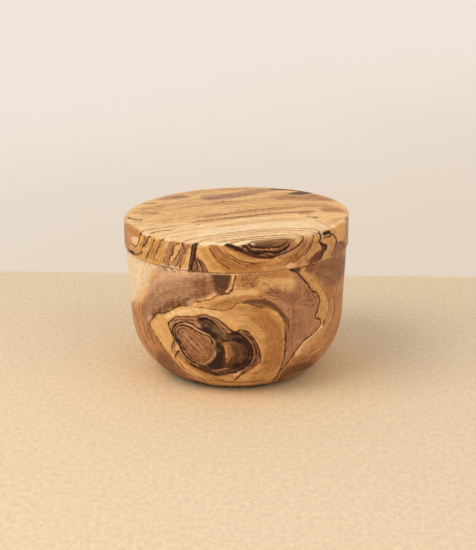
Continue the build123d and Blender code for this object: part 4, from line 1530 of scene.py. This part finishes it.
LID_SIDE_RIGHT: Figure = dict(
    rust_wedge=Patch("210,245 6,0 5,4.6 7,4.4 -6,2 -8,-3.4", RUSSET, 0.6),
    sweep_browns=Bands("214,256 8,7 10,4.6 14,3.4", "222,249 12,7 12,5 16,2", RUSSET, 6, 0.9, 0.85, seed=91),
    sweep_golds=Bands("213,254 9,5.6 10,5 12,5", "219,246 11,5.4 10,5.8 14,4.2", GOLD, 4, 0.7, 0.95, seed=92),
    gold_sweep=Streak("226,249.6 8,4.4 15,6.6 8,0.4 11,-1.4 12,-1", GOLD, 0.9, 0.95),
    gold_sweep_two=Streak("232,245.8 6,1.2 6,2.8", AMBER, 0.8, 0.9),
    low_tan=Patch("262,262 20,-3 14,-3 8,-4 0,12 -16,5 -26,2", AMBER, 1.6, 0.8),
    low_lines=Bands("262,262.6 20,-2 22,-9", "264,268 20,-2 20,-8", RUSSET, 4, 0.7, 0.7, seed=93),
    low_light=Patch("285,266 5,-3.4 7,-0.6 -1,4 -8,3", STRAW, 0.8, 0.6),
    dark_sweep=Patch("224,244.8 8,0.1 16,6.1 4,3 10,1.4 12,2 -10,1.2 -12,-1 -10,-4.2 -10,-3.4", UMBER, 0.5),
    eye_shade=Patch("241,245.4 8,-2.4 41,-4 5,3 -3,7 -10,5.6 -10,2.2 -12,-2.4 -10,-1.4", CHESTNUT, 0.5),
    eye_right_grey=Patch("289.6,240.4 4.4,-1.6 8,-1.4 1,3.6 -6,5.6 -9,5.4 -2,-3.4", SMOKE, 0.6),
    eye_right_pale=Patch("294,241.8 3,-3 5.2,-0.8 -1.2,3.4 -5,2.2", HONEY, 0.5, 0.85),
    lens=Patch("250,243.4 6,-2.4 14,-1 18,-0.8 -3,4.4 -9,2.8 -23,-0.2", OLIVE, 0.5, 0.55),
    lens_light=Streak("256,241.6 12,-0.6 16,-0.2", AMBER, 0.7),
    lens_dark=Streak("252,245.2 10,0.4 12,-0.6", COCOA, 0.8, 0.8),
    lens_glint=Blot("252.4,243.2", CREAM, (1.7, 0.7), 0.9),
    ring_gold=Streak("252,248.6 20,0.4 9,-2 5.6,-3", AMBER, 0.6, 0.95),
    ring_grey=Streak("268,254.6 8,-0.4 8,-2.4 7,-3.8", TAN, 0.5, 0.9),
    outer_tan=Streak("278,257.4 9,-2.8 9,-5 7,-6.6", TAN, 0.9, 0.8),
    right_stripes=Bands("304,238 -2,8 -8,9 -8,7", "312,240 -4,10 -6,8 -6,6", RUSSET, 5, 0.8, 0.6, seed=94),
    right_lights=Bands("305,240 -3,8 -6,8", "311,243 -4,9 -5,8", HONEY, 3, 0.6, 0.55, seed=95),
    gold_strip=Patch("314,236 4.6,-1 -0.2,8 0.6,4 -5,6 -10,9 4,-9 5,-8", GOLD, 0.6),
    gold_strip_line=Streak("316,240 -0.6,7 -4.4,7", RUSSET, 0.5, 0.7),
    dark_patch=Patch("310,259 8,-7.6 4,-1.4 0.6,4 -2,5.6 -6.6,3.4 -5.4,1.6", UMBER, 0.5),
    patch_strip=Streak("318,247 -3.4,5 -4,5", HONEY, 0.5, 0.9),
    brown_by_the_seam=Blot("307.4,261", CHESTNUT, (1.6, 1.5), 0.9),
    zigzag_fill=Patch("321,243 5.6,2.6 -0.6,3.8 -4,3.6 -0.4,-4", COCOA, 0.4),
    gold_wedge=Patch("321.4,240.6 11.6,-4.2 2.6,4.2 -5,13.4 -4.6,4.6 -3.4,0 1.4,-5 3.6,-4.6 -0.2,-4", AMBER,
        0.4),
    wedge_light=Blot("324,241.4", STRAW, (1.2, 0.8), 0.9, 15),
    wedge_stripes=Bands("328,239 2,6 -4,12", "333,238 1,7 -5,11", RUSSET, 3, 0.5, 0.7, seed=96),
    far_brown=Patch("336,241 7,-1 3,4 -1,10 -12,5 -2,-5 3,-6", CHESTNUT, 0.8, 0.8),
    far_gold=Patch("335,228 8,-6 2,6 -2,12 -5,2 -3,-6", GOLD, 0.8, 0.9),
    blot_tan=Patch("328,229.6 7,-1.2 0.6,5.6 -4.6,0", COPPER, 0.6, 0.8),
    blot=Patch("323,233 2.6,-2 3.8,-0.4 1.2,2.6 -3.6,1.4 -3,1", COAL, 0.35),
    rust_line=Vein("208.4,244.8 1.6,4.2 7,10.6 6,5 9,5.4", 0.65, 0.6),
    rust_line_two=Vein("215.6,245.4 4.4,5.6 6,4.6 16,8.8 8,3.6", 0.6, 0.55),
    rust_line_three=Vein("225,252.6 15,7.6 16,3.6 8,-1.6", 0.65, 0.62),
    sweep_head=Vein("224.4,244.8 6.6,1.4 15,5.8", 1.6, 0.9, soft=0.4, tip=(0.02, 0.3)),
    sweep=Vein("238,249 8,3.6 8,3.6 22,2.4", 0.9, 0.7, soft=0.3),
    black_ring=Vein("241,245.4 5.4,2 3,3.6 4.6,2.6 6,-0.4 6,-1.4 8,0.8 8,-1.8 5.4,-3.8 2.6,-5 2.6,-2.6", 1.35,
        0.95, soft=0.3, tip=(0.08, 0.15)),
    black_ring_weight=Vein("250,250.6 6,1.8 6,-0.6", 1.9, 0.9, soft=0.5),
    lens_rim=Vein("248.6,242.8 2.4,3.2 7,1.8 20,-1 7,-2.8 4,-3.8", 1, 0.95, soft=0.3),
    lens_crown=Vein("249,243.2 4,-2 41,-2.8", 0.65, 0.8),
    third_ring=Vein("264,253.6 4,2 5,0.8 7,-1.6 14,-6.2 5.6,-4", 0.85, 0.88, tip=(0.1, 0.4)),
    outer_ring=Vein("303.4,236.2 -0.4,3.2 -2.4,3.6 -5.6,4.6 -7,4", 0.85, 0.9, tip=(0.02, 0.6)),
    diagonal=Vein("306,250.6 -4,4.4 -6,4 -8,4 -5,3", 0.5, 0.5),
    red_line=Vein("313.6,234 -0.4,4.6 -2.2,4.4 -2,5 -4.4,6 -5.6,6", 0.85, 0.6, tip=(0.03, 0.6)),
    zigzag=Vein("318,231.4 2.4,2.2 0.2,4.4 -1.2,3.6 2.6,2.4 4.6,1.8 -0.2,3 -3.4,3.2 -1.2,4 -2.2,5", 1, 0.95,
        soft=0.3, tip=(0.02, 0.1)),
    zigzag_weight=Vein("319.6,232.6 1.2,4.4 -1,4.4", 1.4, 0.8, soft=0.4),
    blot_line=Vein("329.6,234 3.4,0.8 2.6,2.8 1,3.8 -1,4.6 1,4.6", 0.8, 0.88, tip=(0.05, 0.3)),
    blot_line_two=Vein("323.4,239 2.6,-1.8 5,-1.4", 0.7),
    far_line=Vein("336.6,241 5,2 2.4,4.4 -1,3.6", 0.7, 0.75),
    far_line_two=Vein("345,224 1.4,8 -2,10", 0.6, 0.45),
    lens_lines=Rings("250,244 18,-3.4 21,-1.6", "253,247 15,0.4 18,-3.6", 3, 1, 0.5, fade=1),
    right_side_lines=Rings("303,238 -2,8 -8,8 -15,6", "319,238 -1,10 -9,10 -11,8", 6, 0.8, 0.5, fade=1),
    sweep_lines=Rings("212,256 12,8 16,5 24,2", "226,250 14,6 16,3.4 22,-0.8", 5, 0.6, 0.5),
    eye_shade_lines=Rings("242,247 12,7 18,3 16,-5 8,-9", "250,246 12,2.4 18,-1.4 8,-5", 5, 0.6, 0.6,
        fade=1.5),
    patch_lines=Rings("311,260 4,-5 6,-5", "312,264 6,-3 5,-7", 3, 1, 0.6, fade=1),
)

SEAM: Figure = dict(
    # Pale specks along the seam, on the lid's lower edge.
    seam_specks=Blot("160,266.4 4,-0.4 4,1.6 4,-0.6 3,1.6 -5,-3.6 -7,-1", CHALK, (1.4, 0.8), 0.9, -15),
    seam_specks_two=Blot("181,269 3.6,1.4 1.4,-1.4 -8,-1", CHALK, (1.3, 0.8), 0.9),
    far_seam_specks=Blot("334,256.6 4,-2.2 5,-4.4 -3,3.4", CHALK, (0.9, 0.7), 0.75, 20),
)

BOWL_SEAM: Figure = dict(
    # A dark band painted all round the foot: painted shadow where the foot meets the floor.
    foot_contact_shadow=Vein("-180,0 90,0 90,0 90,0 90,0", 8.6, 1, soft=0.9, tip=(0.01, 0.01), around=True),
    rim_pale=Streak("207,273.6 29,0.4 52,-4.4", STRAW, 0.6, 0.8),
    # Pale specks along the seam, on the bowl's rim.
    rim_seam_specks=Blot("214,273.4 8,-0.2 14.6,0.4 21.4,-2", CHALK, (1.3, 0.5), 0.8),
    left_seam_specks=Blot("161,267.6 8,2.4 6,0.4 9,1.2", CHALK, (1.2, 0.6), 0.8, -10),
    chip_shadows=Blot("166,270 6,-0.4 3,1.8 14,0.2 4,0.2", COCOA, (0.9, 0.4), 0.8),
)

BOWL_BACK: Figure = dict(
    right_back=Bare("87,66 4,-10 -6,-10 5,-10 -4,-9 6,-9 -5,-10 3,-9 30,-1 30,2 0,64 -30,4", around=True),
    left_back=Bare("-150,64 0,-64 30,-2 32,1 -3,11 5,10 -6,11 5,11 -5,10 5,8 -3,6 -30,2", around=True),
    right_shore=Vein("87,63 4,-7 -6,-10 5,-10 -4,-9 6,-9 -5,-10 3,-7", 0.8, 0.9, soft=0.35, around=True),
    left_shore=Vein("-88,1 -3,9 5,10 -6,11 5,11 -5,10 5,8 -2,3", 0.8, 0.9, soft=0.35, around=True),
)

LID_BACK: Figure = dict(
    right_back=Bare("84,63 5,4 -5,4 4,5.6 32,0 30,-0.6 0,-13 -30,-1", around=True),
    left_back=Bare("-150,63 0,13 30,0.6 32,-0.6 4,-5 -6,-4 4,-4 -34,-1", around=True),
    right_shore=Vein("84,63.8 5,3.2 -5,4 4,5.8", 0.8, 0.9, soft=0.35, around=True),
    left_shore=Vein("-88,76.4 4,-5.4 -6,-4 4,-3.2", 0.8, 0.9, soft=0.35, around=True),
)

BOWL_FIGURE = (
    BOWL_GROUND, BOWL_HEARTWOOD, BOWL_FIELDS, KNOT, BOWL_CONTOURS, BOWL_BACK, BOWL_SEAM
)
LID_FIGURE = LID_GROUND, LID_TOP, LID_SIDE_LEFT, LID_SIDE_RIGHT, LID_BACK, SEAM


# ---------------------------------------------------------------------------------------------
# Finishes


Socket = bpy.types.NodeSocket


class Graph:
    """Adds and joins the nodes of one material."""

    def __init__(self, name: str) -> None:
        """Start a material with its shader.

        Args:
            name: The material's name.
        """
        self.material = bpy.data.materials.new(name)
        self.material.use_nodes = True
        self.tree = self.material.node_tree
        self.shader = self.tree.nodes["Principled BSDF"]
        texture = self.tree.nodes.new("ShaderNodeTexCoord")
        self.place = self.vector("SCALE", texture.outputs["Object"], scale=1 / MM)

    def feed(self, socket: Socket, value: object) -> None:
        """Join a value to a socket, or set it there if it is a plain number or colour."""
        if isinstance(value, Socket):
            self.tree.links.new(value, socket)
        else:
            socket.default_value = value

    def math(self, operation: str, *values: object) -> Socket:
        """Add one sum on numbers."""
        node = self.tree.nodes.new("ShaderNodeMath")
        node.operation = operation
        for socket, value in zip(node.inputs, values):
            self.feed(socket, value)
        return node.outputs[0]

    def times(self, first: object, second: object) -> Socket:
        """Multiply two numbers."""
        return self.math("MULTIPLY", first, second)

    def fit(self, value: Socket, scale: float, start: object) -> Socket:
        """Scale a number and add another to it."""
        return self.math("MULTIPLY_ADD", value, scale, start)

    def vector(self, operation: str, *values: object, scale: float | None = None) -> Socket:
        """Add one sum on places or directions."""
        node = self.tree.nodes.new("ShaderNodeVectorMath")
        node.operation = operation
        for socket, value in zip(node.inputs, values):
            self.feed(socket, value)
        if scale is not None:
            node.inputs["Scale"].default_value = scale
        return node.outputs["Value" if operation == "LENGTH" else "Vector"]

    def noise(
        self, size: tuple[float, float, float], detail: float = 2.0, rough: float = 0.5, seed: float = 0.0
    ) -> Socket:
        """Add a cloudy pattern.

        Args:
            size: How large its clouds are along X, Y and Z, in millimetres.
            detail: How many finer layers it has.
            rough: How strong those are.
            seed: A number that sets this pattern apart from the others.

        Returns:
            The pattern, from 0 to 1.
        """
        place = self.vector("MULTIPLY_ADD", self.place, [1 / s for s in size], (seed, -seed, 2 * seed))
        node = self.tree.nodes.new("ShaderNodeTexNoise")
        self.feed(node.inputs["Vector"], place)
        node.inputs["Scale"].default_value = 1.0
        node.inputs["Detail"].default_value = detail
        node.inputs["Roughness"].default_value = rough
        return node.outputs["Fac"]

    def spread(
        self, value: Socket, low: object, high: object, first: object = 0.0, last: object = 1.0
    ) -> Socket:
        """Ease a value from one range into another.

        Args:
            value: The value to ease.
            low: The start of its own range.
            high: The end of that range.
            first: What low becomes.
            last: What high becomes.

        Returns:
            The eased value.
        """
        node = self.tree.nodes.new("ShaderNodeMapRange")
        node.interpolation_type = "SMOOTHSTEP"
        for socket, part in zip(node.inputs, (value, low, high, first, last)):
            self.feed(socket, part)
        return node.outputs[0]

    def blend(self, share: object, first: object, second: object, how: str = "MIX") -> Socket:
        """Mix two colours.

        Args:
            share: How much of the second one shows, from 0 to 1.
            first: The colour below.
            second: The colour above.
            how: Blender's name for the way of mixing.

        Returns:
            The mixed colour.
        """
        node = self.tree.nodes.new("ShaderNodeMix")
        node.data_type = "RGBA"
        node.blend_type = how
        sockets = [s for s in node.inputs if s.type == "RGBA"]
        self.feed(node.inputs[0], share)
        self.feed(sockets[0], first)
        self.feed(sockets[1], second)
        return next(s for s in node.outputs if s.type == "RGBA")

    def ramp(self, value: Socket, stops: Sequence[tuple[float, Tone]]) -> Socket:
        """Turn a value into colours that blend from stop to stop.

        Args:
            value: The value, from 0 to 1.
            stops: Each stop's place and tone.

        Returns:
            The colour.
        """
        node = self.tree.nodes.new("ShaderNodeValToRGB")
        self.feed(node.inputs[0], value)
        ramp = node.color_ramp
        while len(ramp.elements) < len(stops):
            ramp.elements.new(0.5)
        for element, (place, tone) in zip(ramp.elements, stops):
            element.position = place
            element.color = tone.linear
        return node.outputs[0]

    def shaded(self, colour: object, shade: object) -> Socket:
        """Multiply a colour by a number or by another colour."""
        if isinstance(shade, Socket) and shade.type == "VALUE":
            node = self.tree.nodes.new("ShaderNodeCombineColor")
            for socket in node.inputs:
                self.feed(socket, shade)
            shade = node.outputs[0]
        return self.blend(1.0, colour, shade, "MULTIPLY")

    def give(self, name: str, value: object) -> None:
        """Set one input of the shader."""
        self.feed(self.shader.inputs[name], value)

    def painted(self, name: str) -> tuple[Socket, Socket]:
        """Read the colour and the fourth number of a mesh attribute."""
        node = self.tree.nodes.new("ShaderNodeAttribute")
        node.attribute_name = name
        return node.outputs["Color"], node.outputs["Alpha"]

    def parts(self, colour: Socket) -> list[Socket]:
        """Split a colour into its three numbers."""
        node = self.tree.nodes.new("ShaderNodeSeparateColor")
        self.feed(node.inputs[0], colour)
        return list(node.outputs)

    def bump(self, height: Socket, depth: float) -> None:
        """Give the surface relief, with its depth in millimetres."""
        node = self.tree.nodes.new("ShaderNodeBump")
        node.inputs["Strength"].default_value = 1.0
        node.inputs["Distance"].default_value = depth * MM
        self.feed(node.inputs["Height"], height)
        self.give("Normal", node.outputs[0])


@dataclass(frozen=True)
class OliveWood:
    """Oiled olive wood, with its grain along X."""

    roughness: float = 0.46
    gloss: float = 0.14
    burn: tuple[float, float, float, float] = (0.5, 0.36, 0.27, 1.0)
    zone_width: float = 6.0
    ring_gap: float = 2.4
    vein_wobble: float = 1.0

    def make(self) -> bpy.types.Material:
        """Make the wood.

        Returns:
            The material, which reads the figure drawn on each piece.
        """
        graph = Graph("olive_wood")
        painted, cover = graph.painted("figure")
        colour = graph.blend(cover, self.growth(graph), painted)
        colour = self.grain(graph, colour)
        dark, pale = self.veins(graph)
        lined, lit = self.rings(graph)
        colour = graph.blend(lit, colour, HONEY.linear)
        colour = graph.blend(pale, colour, CREAM.linear)
        burnt = graph.shaded(colour, self.burn)
        colour = graph.blend(graph.math("MAXIMUM", graph.spread(dark, 0.0, 0.55), lined), colour, burnt)
        colour = graph.blend(graph.spread(dark, 0.4, 1.0), colour, COAL.linear)
        graph.give("Base Color", colour)
        fine = graph.noise((9.0, 0.5, 0.5), 3.0, seed=4.0)
        dull, sharp = self.roughness + 0.08, self.roughness - 0.06
        graph.give("Roughness", graph.spread(fine, 0.2, 0.8, sharp, dull))
        graph.give("Specular IOR Level", self.gloss)
        relief = graph.math("ADD", graph.times(fine, 0.5), graph.noise((2.5, 0.7, 0.7), 2.0))
        graph.bump(graph.math("SUBTRACT", relief, graph.times(dark, 0.3)), 0.03)
        return graph.material

    def growth(self, graph: Graph) -> Socket:
        """Grow rings round a heart that runs along X, for the wood that isn't drawn.

        Args:
            graph: The material's nodes.

        Returns:
            The colour.
        """
        sway = graph.fit(graph.noise((110, 30, 30), 2.0, seed=1.0), 44.0, -22.0)
        swirl = graph.fit(graph.noise((20, 7, 7), 2.0, seed=2.0), 6.0, -3.0)
        flat = graph.vector("MULTIPLY", graph.place, (0.2, 1.0, 0.8))
        heart = graph.vector("SUBTRACT", flat, (0.0, 24.0, 22.0))
        depth = graph.math("ADD", graph.vector("LENGTH", heart), graph.math("ADD", sway, swirl))
        zones = graph.tree.nodes.new("ShaderNodeTexNoise")
        zones.noise_dimensions = "1D"
        zones.inputs["Scale"].default_value = 1.0
        zones.inputs["Detail"].default_value = 3.0
        graph.feed(zones.inputs["W"], graph.math("DIVIDE", depth, self.zone_width))
        colour = graph.ramp(
            zones.outputs["Fac"],
            (
                (0.30, CHESTNUT), (0.40, RUSSET), (0.47, TAN), (0.50, AMBER),
                (0.56, GOLD), (0.64, HONEY), (0.74, STRAW),
            ),
        )
        bold = self.lines(graph, graph.math("DIVIDE", depth, self.ring_gap), 0.24)
        bold = graph.spread(bold, 0.72, 1.05)
        fine = self.lines(graph, graph.math("DIVIDE", depth, self.ring_gap / 3.0), 0.45)
        burnt = graph.shaded(colour, self.burn)
        colour = graph.blend(graph.times(fine, 0.5), colour, burnt)
        return graph.blend(graph.times(bold, 0.9), colour, COAL.linear)

    def lines(self, graph: Graph, phase: Socket, width: object) -> Socket:
        """Draw a line at each whole number of a phase, each as dark as its own chance has it.

        Args:
            graph: The material's nodes.
            phase: How many rings lie before each point.
            width: How much of each ring is dark.

        Returns:
            How dark each point is, from 0 to about 1.15.
        """
        level = graph.math("ROUND", phase)
        lot = graph.tree.nodes.new("ShaderNodeTexWhiteNoise")
        lot.noise_dimensions = "1D"
        graph.feed(lot.inputs["W"], level)
        chance = graph.fit(lot.outputs["Value"], 0.6, 0.55)
        away = graph.math("ABSOLUTE", graph.math("SUBTRACT", phase, level))
        edge = graph.times(width, chance)
        line = graph.spread(away, graph.times(edge, 0.2), edge, 1.0, 0.0)
        return graph.times(line, chance)

    def veins(self, graph: Graph) -> tuple[Socket, Socket]:
        """Read the veins that are drawn on the piece.

        Args:
            graph: The material's nodes.

        Returns:
            How dark and how pale they make each point.
        """
        wobble = graph.noise((1.6, 1.6, 1.6), 2.0, seed=7.0)
        wobble = graph.fit(wobble, self.vein_wobble, -self.vein_wobble / 2)
        swell = graph.spread(graph.noise((2.2, 2.2, 2.2), 2.0, seed=15.0), 0.3, 0.7, 0.5, 1.35)
        dark, pale = 0.0, 0.0
        for number in range(Board.channels):
            colour, soft = graph.painted(f"vein_{number}")
            off, half, depth = graph.parts(colour)
            half = graph.times(half, swell)
            away = graph.math("ABSOLUTE", graph.math("ADD", off, wobble))
            low, high = graph.math("SUBTRACT", half, soft), graph.math("ADD", half, soft)
            edge = graph.spread(away, low, high, 1.0, 0.0)
            amount = graph.times(edge, depth)
            dark = graph.math("MAXIMUM", dark, amount)
            pale = graph.math("MINIMUM", pale, amount)
        return dark, graph.times(pale, -1.0)

    def rings(self, graph: Graph) -> tuple[Socket, Socket]:
        """Read the fine rings that are drawn on the piece, each with a darkness of its own.

        Args:
            graph: The material's nodes.

        Returns:
            How dark and how pale they make each point.
        """
        sway = graph.fit(graph.noise((5.0, 5.0, 5.0), 1.0, seed=12.0), 1.6, -0.8)
        shiver = graph.fit(graph.noise((1.6, 1.6, 1.6), 1.0, seed=13.0), 0.7, -0.35)
        shift = graph.math("ADD", sway, shiver)
        broken = graph.spread(graph.noise((2.6, 2.6, 2.6), 2.0, seed=14.0), 0.3, 0.6, 0.5, 1.2)
        dark, pale = 0.0, 0.0
        for number in range(Board.ring_sets):
            phase, strength, width = graph.parts(graph.painted(f"rings_{number}")[0])
            line = self.lines(graph, graph.math("ADD", phase, shift), width)
            line = graph.times(line, broken)
            amount = graph.times(line, strength)
            dark = graph.math("MAXIMUM", dark, amount)
            pale = graph.math("MINIMUM", pale, amount)
        return dark, graph.times(pale, -1.0)

    def grain(self, graph: Graph, colour: Socket) -> Socket:
        """Add fibres, mottling and the short dark flecks of the pores.

        Args:
            graph: The material's nodes.
            colour: The colour without them.

        Returns:
            The colour with them.
        """
        fibre = graph.noise((14.0, 0.6, 0.6), 3.0, 0.6, seed=3.0)
        mottle = graph.spread(graph.noise((6.0, 2.2, 2.2), 4.0, 0.65, seed=5.0), 0.32, 0.68)
        pores = graph.noise((0.9, 0.9, 1.3), 2.0, 0.6, seed=8.0)
        shade = graph.fit(fibre, 0.46, 0.43)
        shade = graph.fit(mottle, 0.2, shade)
        shade = graph.fit(pores, 0.5, shade)
        colour = graph.shaded(colour, shade)
        flecks, _, _ = graph.parts(graph.painted("marks")[0])
        dash = graph.spread(graph.noise((0.7, 0.7, 1.7), 1.0, seed=6.0), 0.56, 0.66)
        return graph.blend(graph.times(dash, flecks), colour, CHESTNUT.linear)


@dataclass(frozen=True)
class Fitting:
    """The finish of a small fitting: its colour, its shine and the marks of its making.

    Marks gives how long the tool's marks are along X, Y and Z, in millimetres, and relief how deep.
    """

    name: str
    colour: Shade
    metal: float
    roughness: float
    marks: tuple[float, float, float]
    relief: float

    def make(self) -> bpy.types.Material:
        """Make the finish."""
        graph = Graph(self.name)
        tool = graph.noise(self.marks, 3.0, 0.6, seed=17.0)
        wear = graph.noise((3.0, 3.0, 3.0), 3.0, 0.6, seed=18.0)
        shade = graph.fit(tool, 0.24, 0.80)
        colour = graph.shaded(linear(self.colour), shade)
        rough = graph.spread(wear, 0.3, 0.7, self.roughness - 0.06, self.roughness + 0.1)
        graph.give("Base Color", colour)
        graph.give("Roughness", rough)
        graph.give("Metallic", self.metal)
        graph.bump(tool, self.relief)
        return graph.material


GROUND_STEEL = Fitting("ground_steel", (186, 187, 188), 1.0, 0.24, (9.0, 9.0, 0.05), 0.004)
DRAWN_BRASS = Fitting("drawn_brass", (205, 166, 96), 1.0, 0.3, (0.08, 0.08, 14.0), 0.006)
NYLON = Fitting("nylon", (228, 222, 206), 0.0, 0.52, (0.5, 0.5, 0.5), 0.01)
NICKEL = Fitting("nickel_plate", (198, 193, 182), 1.0, 0.2, (0.6, 0.6, 0.6), 0.003)
FITTINGS = {
    "pivot_pin": GROUND_STEEL,
    "pivot_sleeve": DRAWN_BRASS,
    "pivot_washer": NYLON,
    "rim_magnet": NICKEL,
    "lid_magnet": NICKEL,
}


# ---------------------------------------------------------------------------------------------
# Studio


@dataclass
class Studio:
    """A paper-covered top that turns pale behind the keeper, and soft lamps.

    The pale part starts at pale_from millimetres behind the keeper, along a line turned by
    pale_turn degrees.
    """

    reach: float = 6.0
    aim_height: float = 0.04
    pale_from: float = 151.0
    pale_turn: float = 4.0
    pale_blur: float = 3.0
    brown: Shade = (228, 203, 168)
    brown_bounce: Shade = (220, 196, 166)
    pale_bounce: Shade = (214, 210, 204)
    pale_near: Shade = (226, 210, 192)
    pale_far: Shade = (237, 226, 213)

    def build(self) -> None:
        """Build the floor and the lamps."""
        bpy.ops.object.select_all(action="DESELECT")
        bpy.ops.mesh.primitive_plane_add(size=self.reach, location=(0, 0, 0))
        floor = bpy.context.object
        floor.name = "floor"
        floor.data.materials.append(self.paper())
        self.lamp("key", (-0.75, -0.45, 0.95), 0.9, 8.9)
        self.lamp("fill", (0.8, -0.8, 0.7), 1.2, 4.6)
        world = bpy.data.worlds.new("studio")
        bpy.context.scene.world = world
        world.use_nodes = True
        background = world.node_tree.nodes["Background"]
        background.inputs["Color"].default_value = (1, 1, 1, 1)
        background.inputs["Strength"].default_value = 0.6

    def lamp(self, name: str, place: tuple[float, float, float], size: float, power: float) -> None:
        """Hang a square soft lamp that points at the keeper.

        Args:
            name: The lamp's name.
            place: Where it hangs.
            size: How wide it is.
            power: Its power in watts.
        """
        data = bpy.data.lights.new(name, "AREA")
        data.size = size
        data.energy = power
        lamp = bpy.data.objects.new(name, data)
        bpy.context.scene.collection.objects.link(lamp)
        lamp.location = place
        aim = Vector((0, 0, self.aim_height)) - Vector(place)
        lamp.rotation_euler = aim.to_track_quat("-Z", "Y").to_euler()

    def paper(self) -> bpy.types.Material:
        """Make the floor's matt paper: brown round the keeper, and pale from a line behind it.

        Near the keeper's foot the brown is tinted warmer, as painted light thrown back by the wood.
        The pale part glows with its own colour for the camera, darker near its line and toward the
        right as painted shade, and both throw back a neutral light.

        Returns:
            The material.
        """
        graph = Graph("floor_paper")
        cloud = graph.noise((2.2, 3.4, 2.2), 4.0, 0.65, seed=11.0)
        shade = graph.fit(cloud, 0.48, 0.76)
        brown = graph.shaded(linear(self.brown), shade)
        # Near the keeper the brown is tinted warmer: painted light, thrown back onto the paper by the wood.
        near = graph.spread(graph.vector("LENGTH", graph.place), 38.0, 95.0, 1.0, 0.0)
        brown = graph.blend(near, brown, graph.shaded(brown, (1.07, 0.98, 0.84, 1.0)))
        seen = graph.tree.nodes.new("ShaderNodeLightPath").outputs["Is Camera Ray"]
        turn = math.radians(self.pale_turn)
        x, y, _ = graph.parts(graph.place)
        behind = graph.fit(x, math.sin(turn), graph.times(y, math.cos(turn)))
        start, blur = self.pale_from, self.pale_blur
        pale = graph.spread(behind, start - blur, start + blur)
        paper = graph.blend(seen, linear(self.brown_bounce), brown)
        unseen = graph.blend(seen, linear(self.pale_bounce), linear((0, 0, 0)))
        graph.give("Base Color", graph.blend(pale, paper, unseen))
        # The pale part glows for the camera, from a darker colour near its line to a lighter one further back
        # and to the left: painted shade on a painted backdrop.
        drift = graph.fit(graph.noise((260, 400, 260), 3.0, seed=19.0), 300.0, behind)
        drift = graph.math("SUBTRACT", drift, graph.times(x, 0.9))
        far = graph.spread(drift, 200.0, 1100.0)
        graph.give("Emission Color", graph.blend(far, linear(self.pale_near), linear(self.pale_far)))
        graph.give("Emission Strength", graph.times(seen, pale))
        graph.give("Roughness", 0.9)
        graph.give("Specular IOR Level", 0.2)
        return graph.material


def dress(piece: bpy.types.Object, skin: Skin, sight: Sight, figure: Sequence[Figure]) -> None:
    """Draw the figure on one wooden piece.

    Args:
        piece: The finished mesh.
        skin: The form of its outside.
        sight: The camera's geometry.
        figure: What is drawn, in order.
    """
    board = Board(piece, skin, sight)
    for part in figure:
        for mark in part.values():
            mark.draw(board)
    board.finish()


def main() -> None:
    """Build and dress every piece."""
    logging.basicConfig(level=logging.INFO, format="%(name)s: %(message)s")
    bpy.context.scene.view_settings.view_transform = "Standard"
    sight = Sight()
    sight.set_up()
    wood = OliveWood().make()
    bowl, lid = Bowl(), Lid()
    jobs = (
        (bowl, "bowl", BowlSkin(bowl), BOWL_FIGURE),
        (lid, "lid", LidSkin(lid), LID_FIGURE),
    )
    for maker, node, skin, figure in jobs:
        piece = maker.build()
        dress(piece, skin, sight, figure)
        piece.data.materials.clear()
        piece.data.materials.append(wood)
        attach(piece, node)
        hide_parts(node)
        log.info("%s: %d faces", piece.name, len(piece.data.polygons))
    for node, fitting in FITTINGS.items():
        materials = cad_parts[node].data.materials
        materials.clear()
        materials.append(fitting.make())
        log.info("%s: %s", node, fitting.name)
    Studio().build()


if __name__ == "__main__":
    main()
